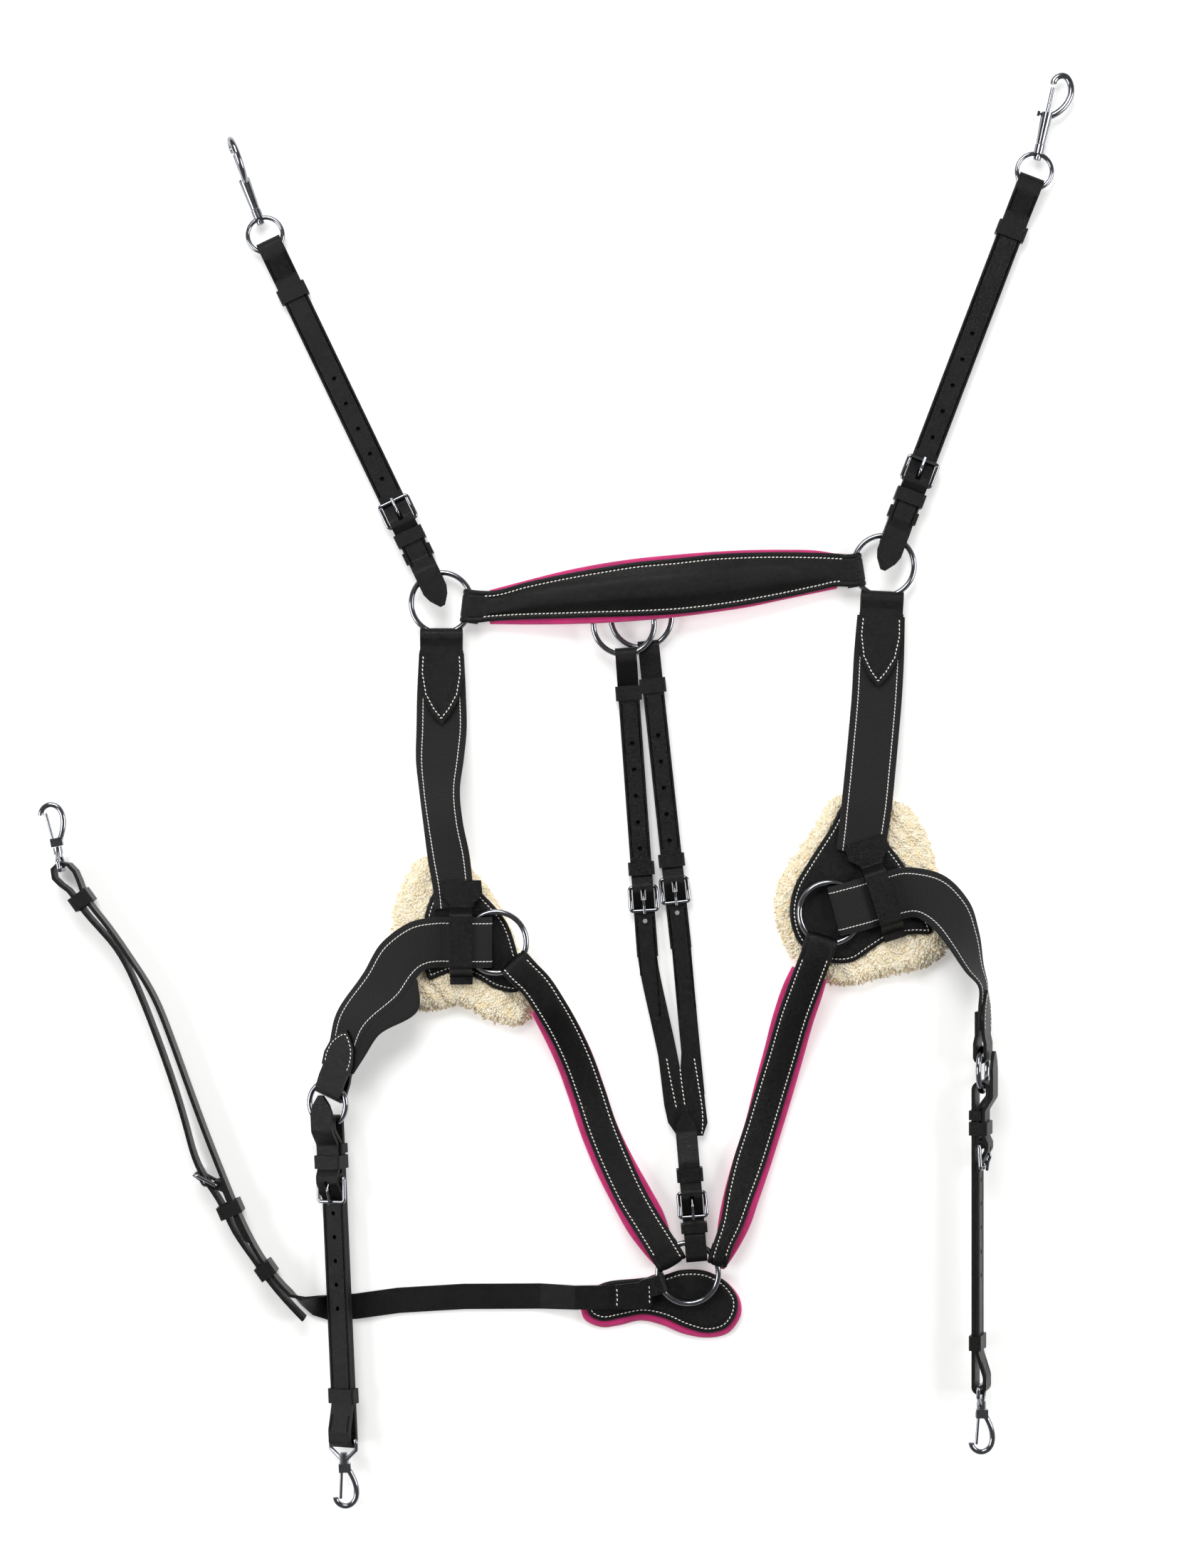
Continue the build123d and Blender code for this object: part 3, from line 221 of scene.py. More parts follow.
def surface(tree, tint, height, strength, depth, values, gloss=None):
    """Shader with its colour, its relief in metres and, where given, gloss as source, low and high."""
    bump = add_node(tree, "ShaderNodeBump", values={"Strength": strength, "Distance": depth},
                    links={"Height": height})
    links = {"Base Color": tint, "Normal": bump.outputs["Normal"]}
    if gloss:
        source, low, high = gloss
        links["Roughness"] = add_node(tree, "ShaderNodeMapRange", values={"To Min": low, "To Max": high},
                                      links={"Value": source}).outputs["Result"]
    return add_node(tree, "ShaderNodeBsdfPrincipled", values=values, links=links)


@finish_named("waxed_bridle_leather")
def bridle_leather(tree):
    """Vegetable-tanned hide, dyed black and waxed: a deep black with a soft sheen and faint pores."""
    grain = 1.0 / sizes().grain
    where = coordinate(tree)
    hand = noise(tree, where, 26.0, 5.0, Roughness=0.6)
    pores = add_node(tree, "ShaderNodeTexVoronoi", {"feature": "DISTANCE_TO_EDGE"}, {"Scale": grain},
                     {"Vector": where})
    wrinkle = noise(tree, where, grain / 7, 6.0)
    edge = blend(tree, pores.outputs["Distance"], (0.0, BLACK), (0.16, WHITE))
    tint = blend(tree, hand, (0.35, colours().leather), (0.8, colours().leather_worn))
    return surface(tree, tint, add_share(tree, edge, 0.35, wrinkle), 0.55, 0.0005,
                   {"IOR": 1.48, "Specular IOR Level": 0.24}, (hand, 0.3, 0.5))


@finish_named("brushed_nylon_lining")
def brushed_lining(tree):
    """Brushed nylon knit over foam: a matt, saturated pink whose nap shades in soft patches."""
    nap = 1.0 / sizes().nap
    where = coordinate(tree)
    patches = noise(tree, where, 60.0, 6.0, Roughness=0.65)
    pile = noise(tree, where, nap, 3.0)
    loops = add_node(tree, "ShaderNodeTexVoronoi", values={"Scale": nap * 0.9}, links={"Vector": where})
    mixed = add_node(tree, "ShaderNodeMath", {"operation": "ADD"},
                     links={0: pile, 1: loops.outputs["Distance"]})
    tint = blend(tree, patches, (0.3, colours().lining_shade), (0.58, colours().lining))
    return surface(tree, tint, mixed.outputs["Value"], 0.5, 0.0004,
                   {"Roughness": 0.9, "Sheen Weight": 0.25, "Sheen Roughness": 0.5, "IOR": 1.5})


@finish_named("woven_elastic_webbing")
def ribbed_elastic(tree):
    """Woven elastic webbing: fine ribs across the band and a cross-weave, dull charcoal grey, with painted shade
    darkening the grooves between the ribs.
    """
    ribs = 1.0 / sizes().rib / WAVE_REPEATS
    where = coordinate(tree, "UV")
    across = add_node(tree, "ShaderNodeTexWave", {"bands_direction": "Y"},
                      {"Scale": ribs, "Distortion": 0.15, "Detail": 1.0}, {"Vector": where})
    along = add_node(tree, "ShaderNodeTexWave", {"bands_direction": "X"},
                     {"Scale": ribs * 0.9, "Distortion": 0.1}, {"Vector": where})
    fuzz = noise(tree, where, 900.0, 3.0)
    weave = add_share(tree, along.outputs["Fac"], 0.5, across.outputs["Fac"])
    # Painted shade: where the weave's relief is low, in the grooves between the ribs, the colour turns darker.
    tint = blend(tree, weave, (0.0, colours().webbing_groove_shade), (0.7, colours().webbing))
    return surface(tree, tint, add_share(tree, fuzz, 0.4, weave), 0.6, 0.0005,
                   {"Roughness": 0.86, "Sheen Weight": 0.05, "IOR": 1.5, "Specular IOR Level": 0.32})


@finish_named("combed_sheepskin")
def sheepskin(tree):
    """Combed lambswool: cream curls, lighter at the tips, with a soft rim of light on the fibres."""
    where = coordinate(tree)
    clumps = noise(tree, where, 170.0, 4.0, Roughness=0.6)
    fibre = noise(tree, where, 1400.0, 2.0)
    tint = blend(tree, clumps, (0.25, colours().fleece_root), (0.55, colours().fleece))
    return surface(tree, tint, fibre, 0.5, 0.0006,
                   {"Roughness": 0.95, "Sheen Weight": 0.25, "Sheen Roughness": 0.6,
                    "Subsurface Weight": 0.15, "Subsurface Scale": 0.003, "IOR": 1.55})


@finish_named("waxed_linen_thread")
def waxed_thread(tree):
    """Twisted and waxed linen thread: off-white, a little shiny along the twist."""
    twist = noise(tree, coordinate(tree), 2500.0, 2.0)
    tint = blend(tree, twist, (0.0, hex_colour("cfc9bd")), (0.5, colours().thread))
    return surface(tree, tint, twist, 0.3, 0.0002, {"Roughness": 0.6, "IOR": 1.5})


@finish_named("bright_chrome_plate")
def chrome_plate(tree):
    """Polished steel under bright plating: mirror-like, with faint handling marks in the gloss."""
    marks = noise(tree, coordinate(tree), 300.0, 5.0)
    tint = blend(tree, marks, (0.0, hex_colour("5f6166")), (0.45, colours().chrome))
    return surface(tree, tint, marks, 0.06, 0.0002, {"Metallic": 1.0}, (marks, 0.08, 0.18))


@finish_named("matt_white_laminate")
def table_top(tree):
    """Matt white laminate: a plain pale ground that takes a soft shadow."""
    return add_node(tree, "ShaderNodeBsdfPrincipled",
                    values={"Base Color": colours().floor, "Roughness": 0.9, "IOR": 1.45,
                            "Emission Color": colours().floor, "Emission Strength": 0.3})


# ---- making pieces ----
def place(x, y, z, heading, roll=0.0):
    """Frame in millimetres: heading turns about the vertical, roll about the run."""
    turn = Matrix.Rotation(math.radians(heading), 4, "Z") @ Matrix.Rotation(math.radians(roll), 4, "X")
    return Matrix.Translation((x, y, z)) @ turn


def ring_frame(ring, heading, tilt=0.0):
    return place(ring[0], ring[1], ring[2], heading, tilt)


def edge_pair(spot, width, s=0.0, z=0.0):
    """Left and right edge points of a band that runs along the frame's first axis."""
    return spot @ Vector((s, width / 2, z)), spot @ Vector((s, -width / 2, z))


def ring_turn(spot, fold, thick, width, inner, low_reach, arriving=False):
    """Edge pairs of a band folded round a ring: under leaf, turn, upper leaf."""
    r = inner + thick / 2
    centre = fold + thick / 2 + r
    pairs = [edge_pair(spot, width, s, -r) for s in np.linspace(low_reach, centre + 4, 4)]
    for step in range(9):
        a = math.radians(-90 - 22.5 * step)
        pairs.append(edge_pair(spot, width, centre + r * math.cos(a), r * math.sin(a)))
    pairs.append(edge_pair(spot, width, centre + 4, r))
    if arriving:
        pairs = [(right, left) for left, right in reversed(pairs)]
    return pairs


def flow(pairs, step=3.0):
    """Smooth run through the edge pairs: centre, half width, tangent, normal and distance at each step."""
    p = np.array([[*a, *b] for a, b in pairs])
    mid = (p[:, :3] + p[:, 3:]) / 2
    h = np.maximum(np.linalg.norm(np.diff(mid, axis=0), axis=1), 0.05)
    slope = np.diff(p, axis=0) / h[:, None]
    m = np.empty_like(p)
    m[0] = slope[0]
    m[-1] = slope[-1]
    for i in range(1, len(p) - 1):
        m[i] = (slope[i] * h[i - 1] + slope[i - 1] * h[i]) / (h[i - 1] + h[i])
    out = [p[0]]
    for i in range(len(h)):
        count = max(1, int(math.ceil(h[i] / step)))
        for k in range(1, count + 1):
            t = k / count
            a = (2 * t ** 3 - 3 * t ** 2 + 1) * p[i] + (-2 * t ** 3 + 3 * t ** 2) * p[i + 1]
            b = (t ** 3 - 2 * t ** 2 + t) * h[i] * m[i] + (t ** 3 - t ** 2) * h[i] * m[i + 1]
            out.append(a + b)
    q = np.array(out)
    centre = (q[:, :3] + q[:, 3:]) / 2
    half = (q[:, 3:] - q[:, :3]) / 2
    tangent = np.gradient(centre, axis=0)
    tangent /= np.maximum(np.linalg.norm(tangent, axis=1), 1e-9)[:, None]
    normal = np.cross(half, tangent)
    normal /= np.maximum(np.linalg.norm(normal, axis=1), 1e-9)[:, None]
    run = np.concatenate([[0], np.cumsum(np.linalg.norm(np.diff(centre, axis=0), axis=1))])
    return centre, half, tangent, normal, run


def leather_section(half, crown=0.0, seam=3.4, thick=LEATHER):
    """Cut strap with rounded edges, a sewn channel near each edge and a raised middle."""
    t = thick / 2
    right = [(half - 0.5, -t), (half, -t + 0.6), (half, t - 0.8), (half - 0.7, t - 0.1), (half - seam + 1.0, t)]
    right += [(half - seam + 0.35, t - 0.4), (half - seam - 0.35, t - 0.4), (half - seam - 1.0, t)]
    right += [(half * 0.58, t + crown * 0.12), (half * 0.46, t + crown * 0.7), (half * 0.3, t + crown)]
    right += [(half * 0.1, t + crown * 1.06)]
    return right + [(-y, n) for y, n in reversed(right)]


def plain_section(half, thick):
    """Flat band with softened edges."""
    t = thick / 2
    right = [(half - 0.6, -t), (half, -t * 0.4), (half, t * 0.4), (half - 0.6, t), (half * 0.5, t)]
    return right + [(-y, n) for y, n in reversed(right)]


def padded_section(half, thick):
    """Foam channel: round sides and a top that swells a little."""
    t = thick / 2
    right = [(half - t, -t)]
    for step in range(1, 8):
        a = math.radians(-90 + 22.5 * step)
        right.append((half - t + t * math.cos(a), t * math.sin(a)))
    right += [(half * 0.45, t + 0.25)]
    return right + [(-y, n) for y, n in reversed(right)]


def band(run, section):
    """Closed band along a run, with across and along distances kept for the weave."""
    centre, half, _, normal, along = run
    verts = []
    lay = []
    for i in range(len(centre)):
        width = float(np.linalg.norm(half[i]))
        side = half[i] / max(width, 1e-9)
        ring = section(width)
        for y, n in ring:
            verts.append(centre[i] + side * y + normal[i] * n)
            lay.append((y * MM, along[i] * MM))
    n = len(ring)
    faces = []
    for i in range(len(centre) - 1):
        for k in range(n):
            faces.append((i * n + k, i * n + (k + 1) % n, (i + 1) * n + (k + 1) % n, (i + 1) * n + k))
    faces.append(tuple(reversed(range(n))))
    faces.append(tuple(range((len(centre) - 1) * n, len(centre) * n)))
    return verts, faces, lay


def join(*parts):
    verts = []
    faces = []
    lay = []
    for v, f, uv in parts:
        shift = len(verts)
        verts += list(v)
        lay += list(uv)
        faces += [tuple(k + shift for k in face) for face in f]
    return verts, faces, lay


def make_piece(name, parts, finish, body="harness", flat=False):
    """Turns vertices in millimetres into an object that rides on a body."""
    verts, faces, lay = parts
    mesh = bpy.data.meshes.new(name)
    mesh.from_pydata([tuple(float(c) * MM for c in v) for v in verts], [], faces)
    mesh.validate()
    sheet = mesh.uv_layers.new(name="lay")
    for loop in mesh.loops:
        sheet.data[loop.index].uv = lay[loop.vertex_index]
    for polygon in mesh.polygons:
        polygon.use_smooth = not flat
    mesh.materials.append(finish)
    piece = bpy.data.objects.new(name, mesh)
    bpy.context.scene.collection.objects.link(piece)
    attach(piece, body)
    return piece


def seam_run(run, side, margin, lift):
    """Points and normals of a seam at a distance from one edge of a run."""
    centre, half, _, normal, _ = run
    width = np.linalg.norm(half, axis=1)
    across = half / np.maximum(width, 1e-9)[:, None]
    points = centre + across * ((width - margin) * side)[:, None] + normal * lift
    return list(zip(points, normal))


def project(nodes, path, lift=0.25):
    """Drops a path onto the upper face of the named pieces."""
    trees = [BVHTree.FromObject(bpy.data.objects[n], bpy.context.evaluated_depsgraph_get()) for n in nodes]
    points = []
    for a, b in zip(path, path[1:]):
        count = max(1, int(math.hypot(b[0] - a[0], b[1] - a[1]) / 1.5))
        points += [(a[0] + (b[0] - a[0]) * k / count, a[1] + (b[1] - a[1]) * k / count) for k in range(count)]
    points.append(path[-1][:2])
    out = []
    for x, y in points:
        best = None
        for tree in trees:
            spot, normal, _, _ = tree.ray_cast(Vector((x * MM, y * MM, 0.3)), Vector((0, 0, -1)))
            if spot and (best is None or spot.z > best[0].z):
                best = (spot, normal)
        if best:
            n = best[1] if best[1].z > 0 else -best[1]
            out.append((np.array(best[0]) / MM + np.array(n) * lift, np.array(n)))
    return out


def smooth_path(points, closed=False, step=2.0):
    """Even points along a soft curve through the given ones."""
    pts = [np.array(p, float) for p in points]
    n = len(pts)
    out = []
    for i in range(n if closed else n - 1):
        a = pts[(i - 1) % n] if closed or i > 0 else 2 * pts[0] - pts[1]
        b = pts[i]
        c = pts[(i + 1) % n]
        d = pts[(i + 2) % n] if closed or i < n - 2 else 2 * pts[-1] - pts[-2]
        count = max(1, int(round(np.linalg.norm(c - b) / step)))
        for k in range(count):
            t = k / count
            out.append(0.5 * (2 * b + (c - a) * t + (2 * a - 5 * b + 4 * c - d) * t * t
                              + (3 * b - a - 3 * c + d) * t ** 3))
    if not closed:
        out.append(pts[-1])
    return out


STITCH = [(-0.5, 0.3, -0.5), (-0.36, 0.85, 0.1), (0.0, 1.0, 0.35), (0.36, 0.85, 0.1), (0.5, 0.3, -0.5)]


def stitches(runs, pitch, long=0.68, thick=None):
    """Rows of single stitches, each a short bowed piece of thread lying in its channel."""
    radius = (thick or sizes().thread / MM) / 2
    verts = []
    faces = []
    for run in runs:
        if len(run) < 2:
            continue
        pts = np.array([p for p, _ in run])
        nor = np.array([n for _, n in run])
        dist = np.concatenate([[0], np.cumsum(np.linalg.norm(np.diff(pts, axis=0), axis=1))])
        count = int(dist[-1] / pitch)
        for k in range(count):
            d = (k + 0.5) * dist[-1] / max(count, 1)
            spots = [np.array([np.interp(d + e, dist, pts[:, c]) for c in range(3)]) for e in (-0.5, 0, 0.5)]
            normal = np.array([np.interp(d, dist, nor[:, c]) for c in range(3)])
            normal /= max(np.linalg.norm(normal), 1e-9)
            along = spots[2] - spots[0]
            along /= max(np.linalg.norm(along), 1e-9)
            side = np.cross(normal, along)
            along = along * 0.985 + side * 0.17
            side = np.cross(normal, along)
            base = len(verts)
            for s, r, lift in STITCH:
                for q in range(6):
                    a = q * math.pi / 3
                    verts.append(spots[1] + along * s * pitch * long + side * math.cos(a) * radius * r
                                 + normal * (math.sin(a) * radius * r * 0.8 + lift * radius * 0.5))
            for i in range(4):
                for q in range(6):
                    faces.append((base + i * 6 + q, base + i * 6 + (q + 1) % 6,
                                  base + (i + 1) * 6 + (q + 1) % 6, base + (i + 1) * 6 + q))
            faces.append(tuple(base + q for q in reversed(range(6))))
            faces.append(tuple(base + 24 + q for q in range(6)))
    return verts, faces, [(v[0] * MM, v[1] * MM) for v in verts]


def sew(name, runs, body="harness", pitch=None, long=0.68, thick=None):
    parts = stitches(runs, pitch or sizes().stitch / MM, long, thick)
    if not parts[0]:
        raise RuntimeError(f"no stitches were laid for {name}")
    return make_piece(name, parts, waxed_thread(), body)


def outline_distance(points, loop):
    """Distance of each point from a closed outline, and whether it lies inside."""
    p = np.array(points)[:, :2]
    a = np.array(loop)[:, :2]
    b = np.roll(a, -1, axis=0)
    best = np.full(len(p), 1e9)
    inside = np.zeros(len(p), bool)
    for s, e in zip(a, b):
        v = e - s
        t = np.clip(((p - s) @ v) / max(v @ v, 1e-9), 0, 1)
        best = np.minimum(best, np.linalg.norm(p - (s + t[:, None] * v), axis=1))
        if s[1] != e[1]:
            hit = ((s[1] > p[:, 1]) != (e[1] > p[:, 1]))
            cross = s[0] + (p[:, 1] - s[1]) / (e[1] - s[1]) * v[0]
            inside ^= hit & (p[:, 0] < cross)
    return best, inside


def inward_of(ring):
    """Unit vectors into a closed outline, and whether it runs anticlockwise."""
    ahead = np.roll(ring, -1, axis=0) - np.roll(ring, 1, axis=0)
    area = np.sum(ring[:, 0] * np.roll(ring[:, 1], -1) - np.roll(ring[:, 0], -1) * ring[:, 1])
    inward = np.stack([-ahead[:, 1], ahead[:, 0]], axis=1) * (1 if area > 0 else -1)
    return inward / np.linalg.norm(inward, axis=1)[:, None], area > 0


def panel(outline, floor, height, step=2.4, rims=(0.8, 1.8, 3.0, 4.2)):
    """Closed panel on a flat underside whose top height depends on the distance from its edge."""
    ring = np.array(smooth_path(outline, closed=True, step=step * 0.8))
    inward, anticlockwise = inward_of(ring)
    fill = []
    for rim in rims:
        row = ring + inward * rim
        d, inside = outline_distance(row, ring)
        fill += [tuple(q) for q, far, ok in zip(row, d, inside) if ok and far > rim * 0.9]
    low = ring.min(axis=0)
    high = ring.max(axis=0)
    grid = []
    y = low[1]
    row = 0
    while y < high[1]:
        x = low[0] + (step / 2 if row % 2 else 0)
        while x < high[0]:
            grid.append((x, y))
            x += step
        y += step * 0.87
        row += 1
    d, inside = outline_distance(grid, ring)
    fill += [q for q, far, ok in zip(grid, d, inside) if ok and far > rims[-1] + step * 0.5]
    flat = [Vector(q) for q in ring] + [Vector(q) for q in fill]
    edges = [(i, (i + 1) % len(ring)) for i in range(len(ring))]
    verts, _, tris, origin, _, _ = delaunay_2d_cdt(flat, edges, [], 1, 1e-5)
    index = {o: i for i, group in enumerate(origin) for o in group}
    rim_ids = [index[i] for i in range(len(ring))]
    d, _ = outline_distance([tuple(v) for v in verts], ring)
    d[rim_ids] = 0
    top = [np.array((v.x, v.y, height(v.x, v.y, far))) for v, far in zip(verts, d)]
    bottom = [np.array((v.x, v.y, floor)) for v in verts]
    n = len(verts)
    faces = [tuple(t) for t in tris] + [tuple(k + n for k in reversed(t)) for t in tris]
    for i, a in enumerate(rim_ids):
        b = rim_ids[(i + 1) % len(rim_ids)]
        faces.append((a, a + n, b + n, b) if anticlockwise else (b, b + n, a + n, a))
    both = top + bottom
    return both, faces, [(v[0] * MM, v[1] * MM) for v in both]


def inset_path(outline, margin, step=2.0):
    """Outline moved inwards by a margin, for a seam that follows the edge."""
    loop = np.array(smooth_path(outline, closed=True, step=step))
    row = loop + inward_of(loop)[0] * margin
    d, inside = outline_distance(row, loop)
    return [tuple(q) for q, far, ok in zip(row, d, inside) if ok and far > margin * 0.93]


def wave(x, y, size, seed=0.0):
    """Slow uneven swell, for leather and foam that never lie quite flat."""
    return (math.sin(x / size + seed) * math.cos(y / size * 0.8 + seed * 1.7)
            + 0.5 * math.sin((x + y) / size * 1.9 + seed * 2.3))


def sewn_top(level, swell, size, seed=0.0):
    """Height of a leather top: pared rim, sewn groove and a slight swell."""
    def height(x, y, d):
        rim = 1.2 * max(0.0, 1 - d / 1.6) ** 2
        groove = 0.45 if 2.6 < d < 4.1 else 0.0
        return level - rim - groove + swell * wave(x, y, size, seed) * min(1.0, d / 8)
    return height


# ---- leather straps, keepers and fittings cut in the frame ----
LEATHER_NODES = ["wither_ring_loop", "elastic_end_tabs", "elastic_guides", "chest_pad_patch", "fork_strap",
                 "belly_strap", "strap_keepers"]
LEATHER_NODES += [f"{row}_{part}_{hand}" for row in ("upper", "girth") for hand in ("left", "right")
                  for part in ("strap", "keepers")]


def dress(node, finish, width, segments=2):
    """Gives a cut piece its finish and takes the knife-sharp corners off."""
    piece = bpy.data.objects[node]
    piece.data.materials.clear()
    piece.data.materials.append(finish)
    soft = piece.modifiers.new("edge_paring", "BEVEL")
    soft.width = width * MM
    soft.segments = segments
    soft.limit_method = "ANGLE"
    soft.angle_limit = math.radians(38)
    soft.use_clamp_overlap = False
    soft.harden_normals = False


class BREASTPLATE_OT_straps(bpy.types.Operator):
    """Finish the cut straps, keepers, tabs and guides and sew their seams"""
    bl_idname = "breastplate.straps"
    bl_label = "Straps"

    def execute(self, context):
        for node in LEATHER_NODES:
            dress(node, bridle_leather(), 0.55)
        tab = [(40, 13.6), (53, 14.3), (69, 11.6), (80.5, 5.4), (87, 0)]
        small = [(31, 10.3), (38, 10.8), (47, 8.8), (54, 3.8), (56.6, 0)]
        runs = []
        for spot, shape in ((ring_frame(SADDLE_L, -90), tab), (ring_frame(SADDLE_R, -93), tab),
                            (girth_tab_frame(GIRTH_L, -87.5, 30, 158), small),
                            (girth_tab_frame(GIRTH_R, -90, -72, 180), small)):
            whole = shape + [(x, -y) for x, y in reversed(shape[:-1])]
            path = [tuple(spot @ Vector((x, y, 3.9))) for x, y in whole]
            if shape is tab:
                runs.append(project(["elastic_end_tabs"], path, 0.1))
            else:
                normal = np.array(spot.to_3x3() @ Vector((0, 0, 1)))
                fine = smooth_path([np.array(p) for p in path], step=1.5)
                runs.append([(p, normal) for p in fine])
        sew("tab_seams", runs)
        fork = [[(-8.0, 186), (-3.4, 165), (0.8, 148), (4.6, 134), (9.2, 121)],
                [(3.2, 186), (7.2, 165), (10.8, 148)],
                [(12.6, 186), (15.0, 165), (17.2, 150)],
                [(24.2, 186), (27.6, 165), (30.2, 148), (30.6, 134), (28.6, 122)]]
        sew("fork_seams", [project(["fork_strap"], smooth_path(p), 0.1) for p in fork])
        patch = [[(-34.5, 13), (-34, 5), (-34.5, -1)], [(-10, 15.5), (-9.7, 8), (-9.7, 1)]]
        sew("patch_seams", [project(["chest_pad_patch"], p, 0.1) for p in patch])
        press_edges()
        return {"FINISHED"}


def strap_frames():
    """Frame, start, end, half width and body of every straight strap whose edges are creased."""
    out = []
    for name, spot, long in (("upper_strap_left", ring_frame(SADDLE_L, 115.6), 304),
                             ("upper_strap_right", ring_frame(SADDLE_R, 69.1), 315)):
        out.append((name, spot, ((92, long - 46), (long - 30, long - 12), (34, 60)), 9.5, name))
    for name, spot, long in (("girth_strap_left", ring_frame(GIRTH_L, -87.5, 30), 259),
                             ("girth_strap_right", ring_frame(GIRTH_R, -90, -72), 243)):
        out.append((name, spot, ((72, long - 38), (long - 24, long - 10)), 9.5, name))
    for spot in (place(-29.2, 514.0, 0, -85.85), place(-12.7, 519.6, 0, -83.85)):
        out.append(("fork_strap", spot, ((60, 178), (222, 300)), 8.0, "harness"))
    return out


def press_edges():
    """Creased lines pressed along both edges of the cut straps."""
    for n, (node, spot, spans, half, body) in enumerate(strap_frames()):
        tree = BVHTree.FromObject(bpy.data.objects[node], bpy.context.evaluated_depsgraph_get())
        up = spot.to_3x3() @ Vector((0, 0, 1))
        ridges = []
        for low, high in spans:
            for side in (-1, 1):
                pairs = []
                for s in np.arange(low, high + 0.1, 4.0):
                    edge = spot @ Vector((s, side * (half - 1.9), 0))
                    hit = tree.ray_cast((edge + up * 60) * MM, -up)[0]
                    if hit is None:
                        continue
                    mid = hit / MM + up * 0.05
                    across = (spot.to_3x3() @ Vector((0, 1, 0))) * 0.35
                    pairs.append((mid + across, mid - across))
                if len(pairs) > 1:
                    ridges.append(band(flow(pairs, 4.0), lambda h: plain_section(h + 0.3, 0.36)))
        if not ridges:
            raise RuntimeError(f"no creased line could be laid on {node}")
        make_piece(f"{node}_crease_{n}", join(*ridges), bridle_leather(), body)


def girth_tab_frame(ring, heading, tilt, turn):
    return ring_frame(ring, heading, tilt) @ Matrix.Rotation(math.radians(turn), 4, "Z")


class BREASTPLATE_OT_fittings(bpy.types.Operator):
    """Finish every ring, buckle and snap in bright plate"""
    bl_idname = "breastplate.fittings"
    bl_label = "Rings, buckles and snaps"

    def execute(self, context):
        words = ("buckle", "ring", "snap")
        done = 0
        for name, piece in frame["nodes"].items():
            if any(w in name for w in words) and name != "wither_ring_loop":
                dress(name, chrome_plate(), 0.25)
                done += 1
        if not done:
            raise RuntimeError("no metal fittings were found in the frame")
        return {"FINISHED"}


# ---- wither pad ----
WITHER = [
    # x, lining edges, leather edges, underside of the lining
    (-130, (514.2, 540.2), (516.2, 539.2), 5.4),
    (-100, (513.7, 547.8), (517.5, 546.0), 10.5),
    (-75, (513.7, 553.8), (518.0, 551.0), 14.5),
    (-48, (514.3, 558.9), (518.7, 555.6), 18.6),
    (-20, (516.0, 563.0), (519.5, 560.0), 18.8),
    (10, (518.8, 566.0), (521.0, 562.8), 18.8),
    (40, (522.8, 568.5), (524.5, 566.2), 15.6),
    (64, (526.6, 569.9), (528.4, 567.6), 12.0),
    (92, (532.6, 570.4), (533.8, 568.2), 8.8),
    (117, (537.9, 569.9), (539.2, 567.9), 6.5),
    (132, (541.0, 567.6), (542.4, 567.4), 5.4),
]


class BREASTPLATE_OT_wither_pad(bpy.types.Operator):
    """Wither pad: foam lining, raised leather top and its two rows of stitches"""
    bl_idname = "breastplate.wither_pad"
    bl_label = "Wither pad"

    def execute(self, context):
        under = [(Vector((x, pad[1], z + PADDING / 2)), Vector((x, pad[0], z + PADDING / 2)))
                 for x, pad, _, z in WITHER]
        lining = make_piece("wither_lining", band(flow(under, 3.0), lambda h: padded_section(h, PADDING)),
                            brushed_lining())
        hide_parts("wither_pad_lining")
        top = PADDING + 0.3 + LEATHER / 2
        over = [(Vector((x, cut[1], z + top)), Vector((x, cut[0], z + top))) for x, _, cut, z in WITHER]
        start = ring_turn(ring_frame(SADDLE_L, -7), 15.2, LEATHER, 25.0, FOLD_IN, 29.0)
        end = ring_turn(ring_frame(SADDLE_R, 189), 15.2, LEATHER, 25.0, FOLD_IN, 29.0, arriving=True)
        run = flow(start + over + end, 2.6)
        left = SADDLE_L[0] + 34
        right = SADDLE_R[0] - 34

        def raised(i):
            x = run[0][i][0]
            fade = min(1.0, max(0.0, (x - left) / 45), max(0.0, (right - x) / 45)) if left < x < right else 0.0
            return 3.4 * math.sin(fade * math.pi / 2)
        crowns = iter([raised(i) for i in range(len(run[0]))])
        leather = make_piece("wither_leather", band(run, lambda h: leather_section(h, next(crowns), WITHER_SEAM)),
                             bridle_leather())
        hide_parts("wither_pad_leather")
        seams = []
        for side in (-1, 1):
            row = seam_run(run, side, WITHER_SEAM, LEATHER / 2 - 0.05)
            seams.append([s for s in row if left - 3 < s[0][0] < right + 3 and s[1][2] > 0.5])
        sew("wither_seams", seams)
        return {"FINISHED"}


# ---- shoulder pads ----
FLEECE_L = [
    (-174, 338), (-188, 331), (-197, 314), (-202, 297), (-203, 275), (-202, 255), (-200, 240),
    (-193, 229), (-180, 223.5), (-166, 224), (-154, 227), (-141, 222), (-129, 215), (-115, 212),
    (-103, 214), (-98.5, 221), (-102, 236), (-108, 262), (-116, 286), (-130, 311), (-148, 331), (-160, 338),
]
LEATHER_L = [
    (-166, 320), (-173, 311), (-179, 295), (-181, 275), (-180, 258), (-176, 246), (-168, 248.5),
    (-157, 251.5), (-142, 248), (-126, 239), (-110, 236.5), (-106, 246), (-110, 268), (-118, 290),
    (-134, 309), (-149, 322),
]
FLEECE_R = [
    (133, 383), (125, 376), (115, 359), (101, 339), (91, 323), (86.5, 307), (86.5, 291), (91, 279),
    (98, 264), (110, 251), (128, 243), (149, 243), (164, 248), (182, 252), (198, 255), (209, 262),
    (216, 272), (218, 291), (215, 307), (208, 326), (200, 353), (188, 372), (175, 380), (154, 386),
]
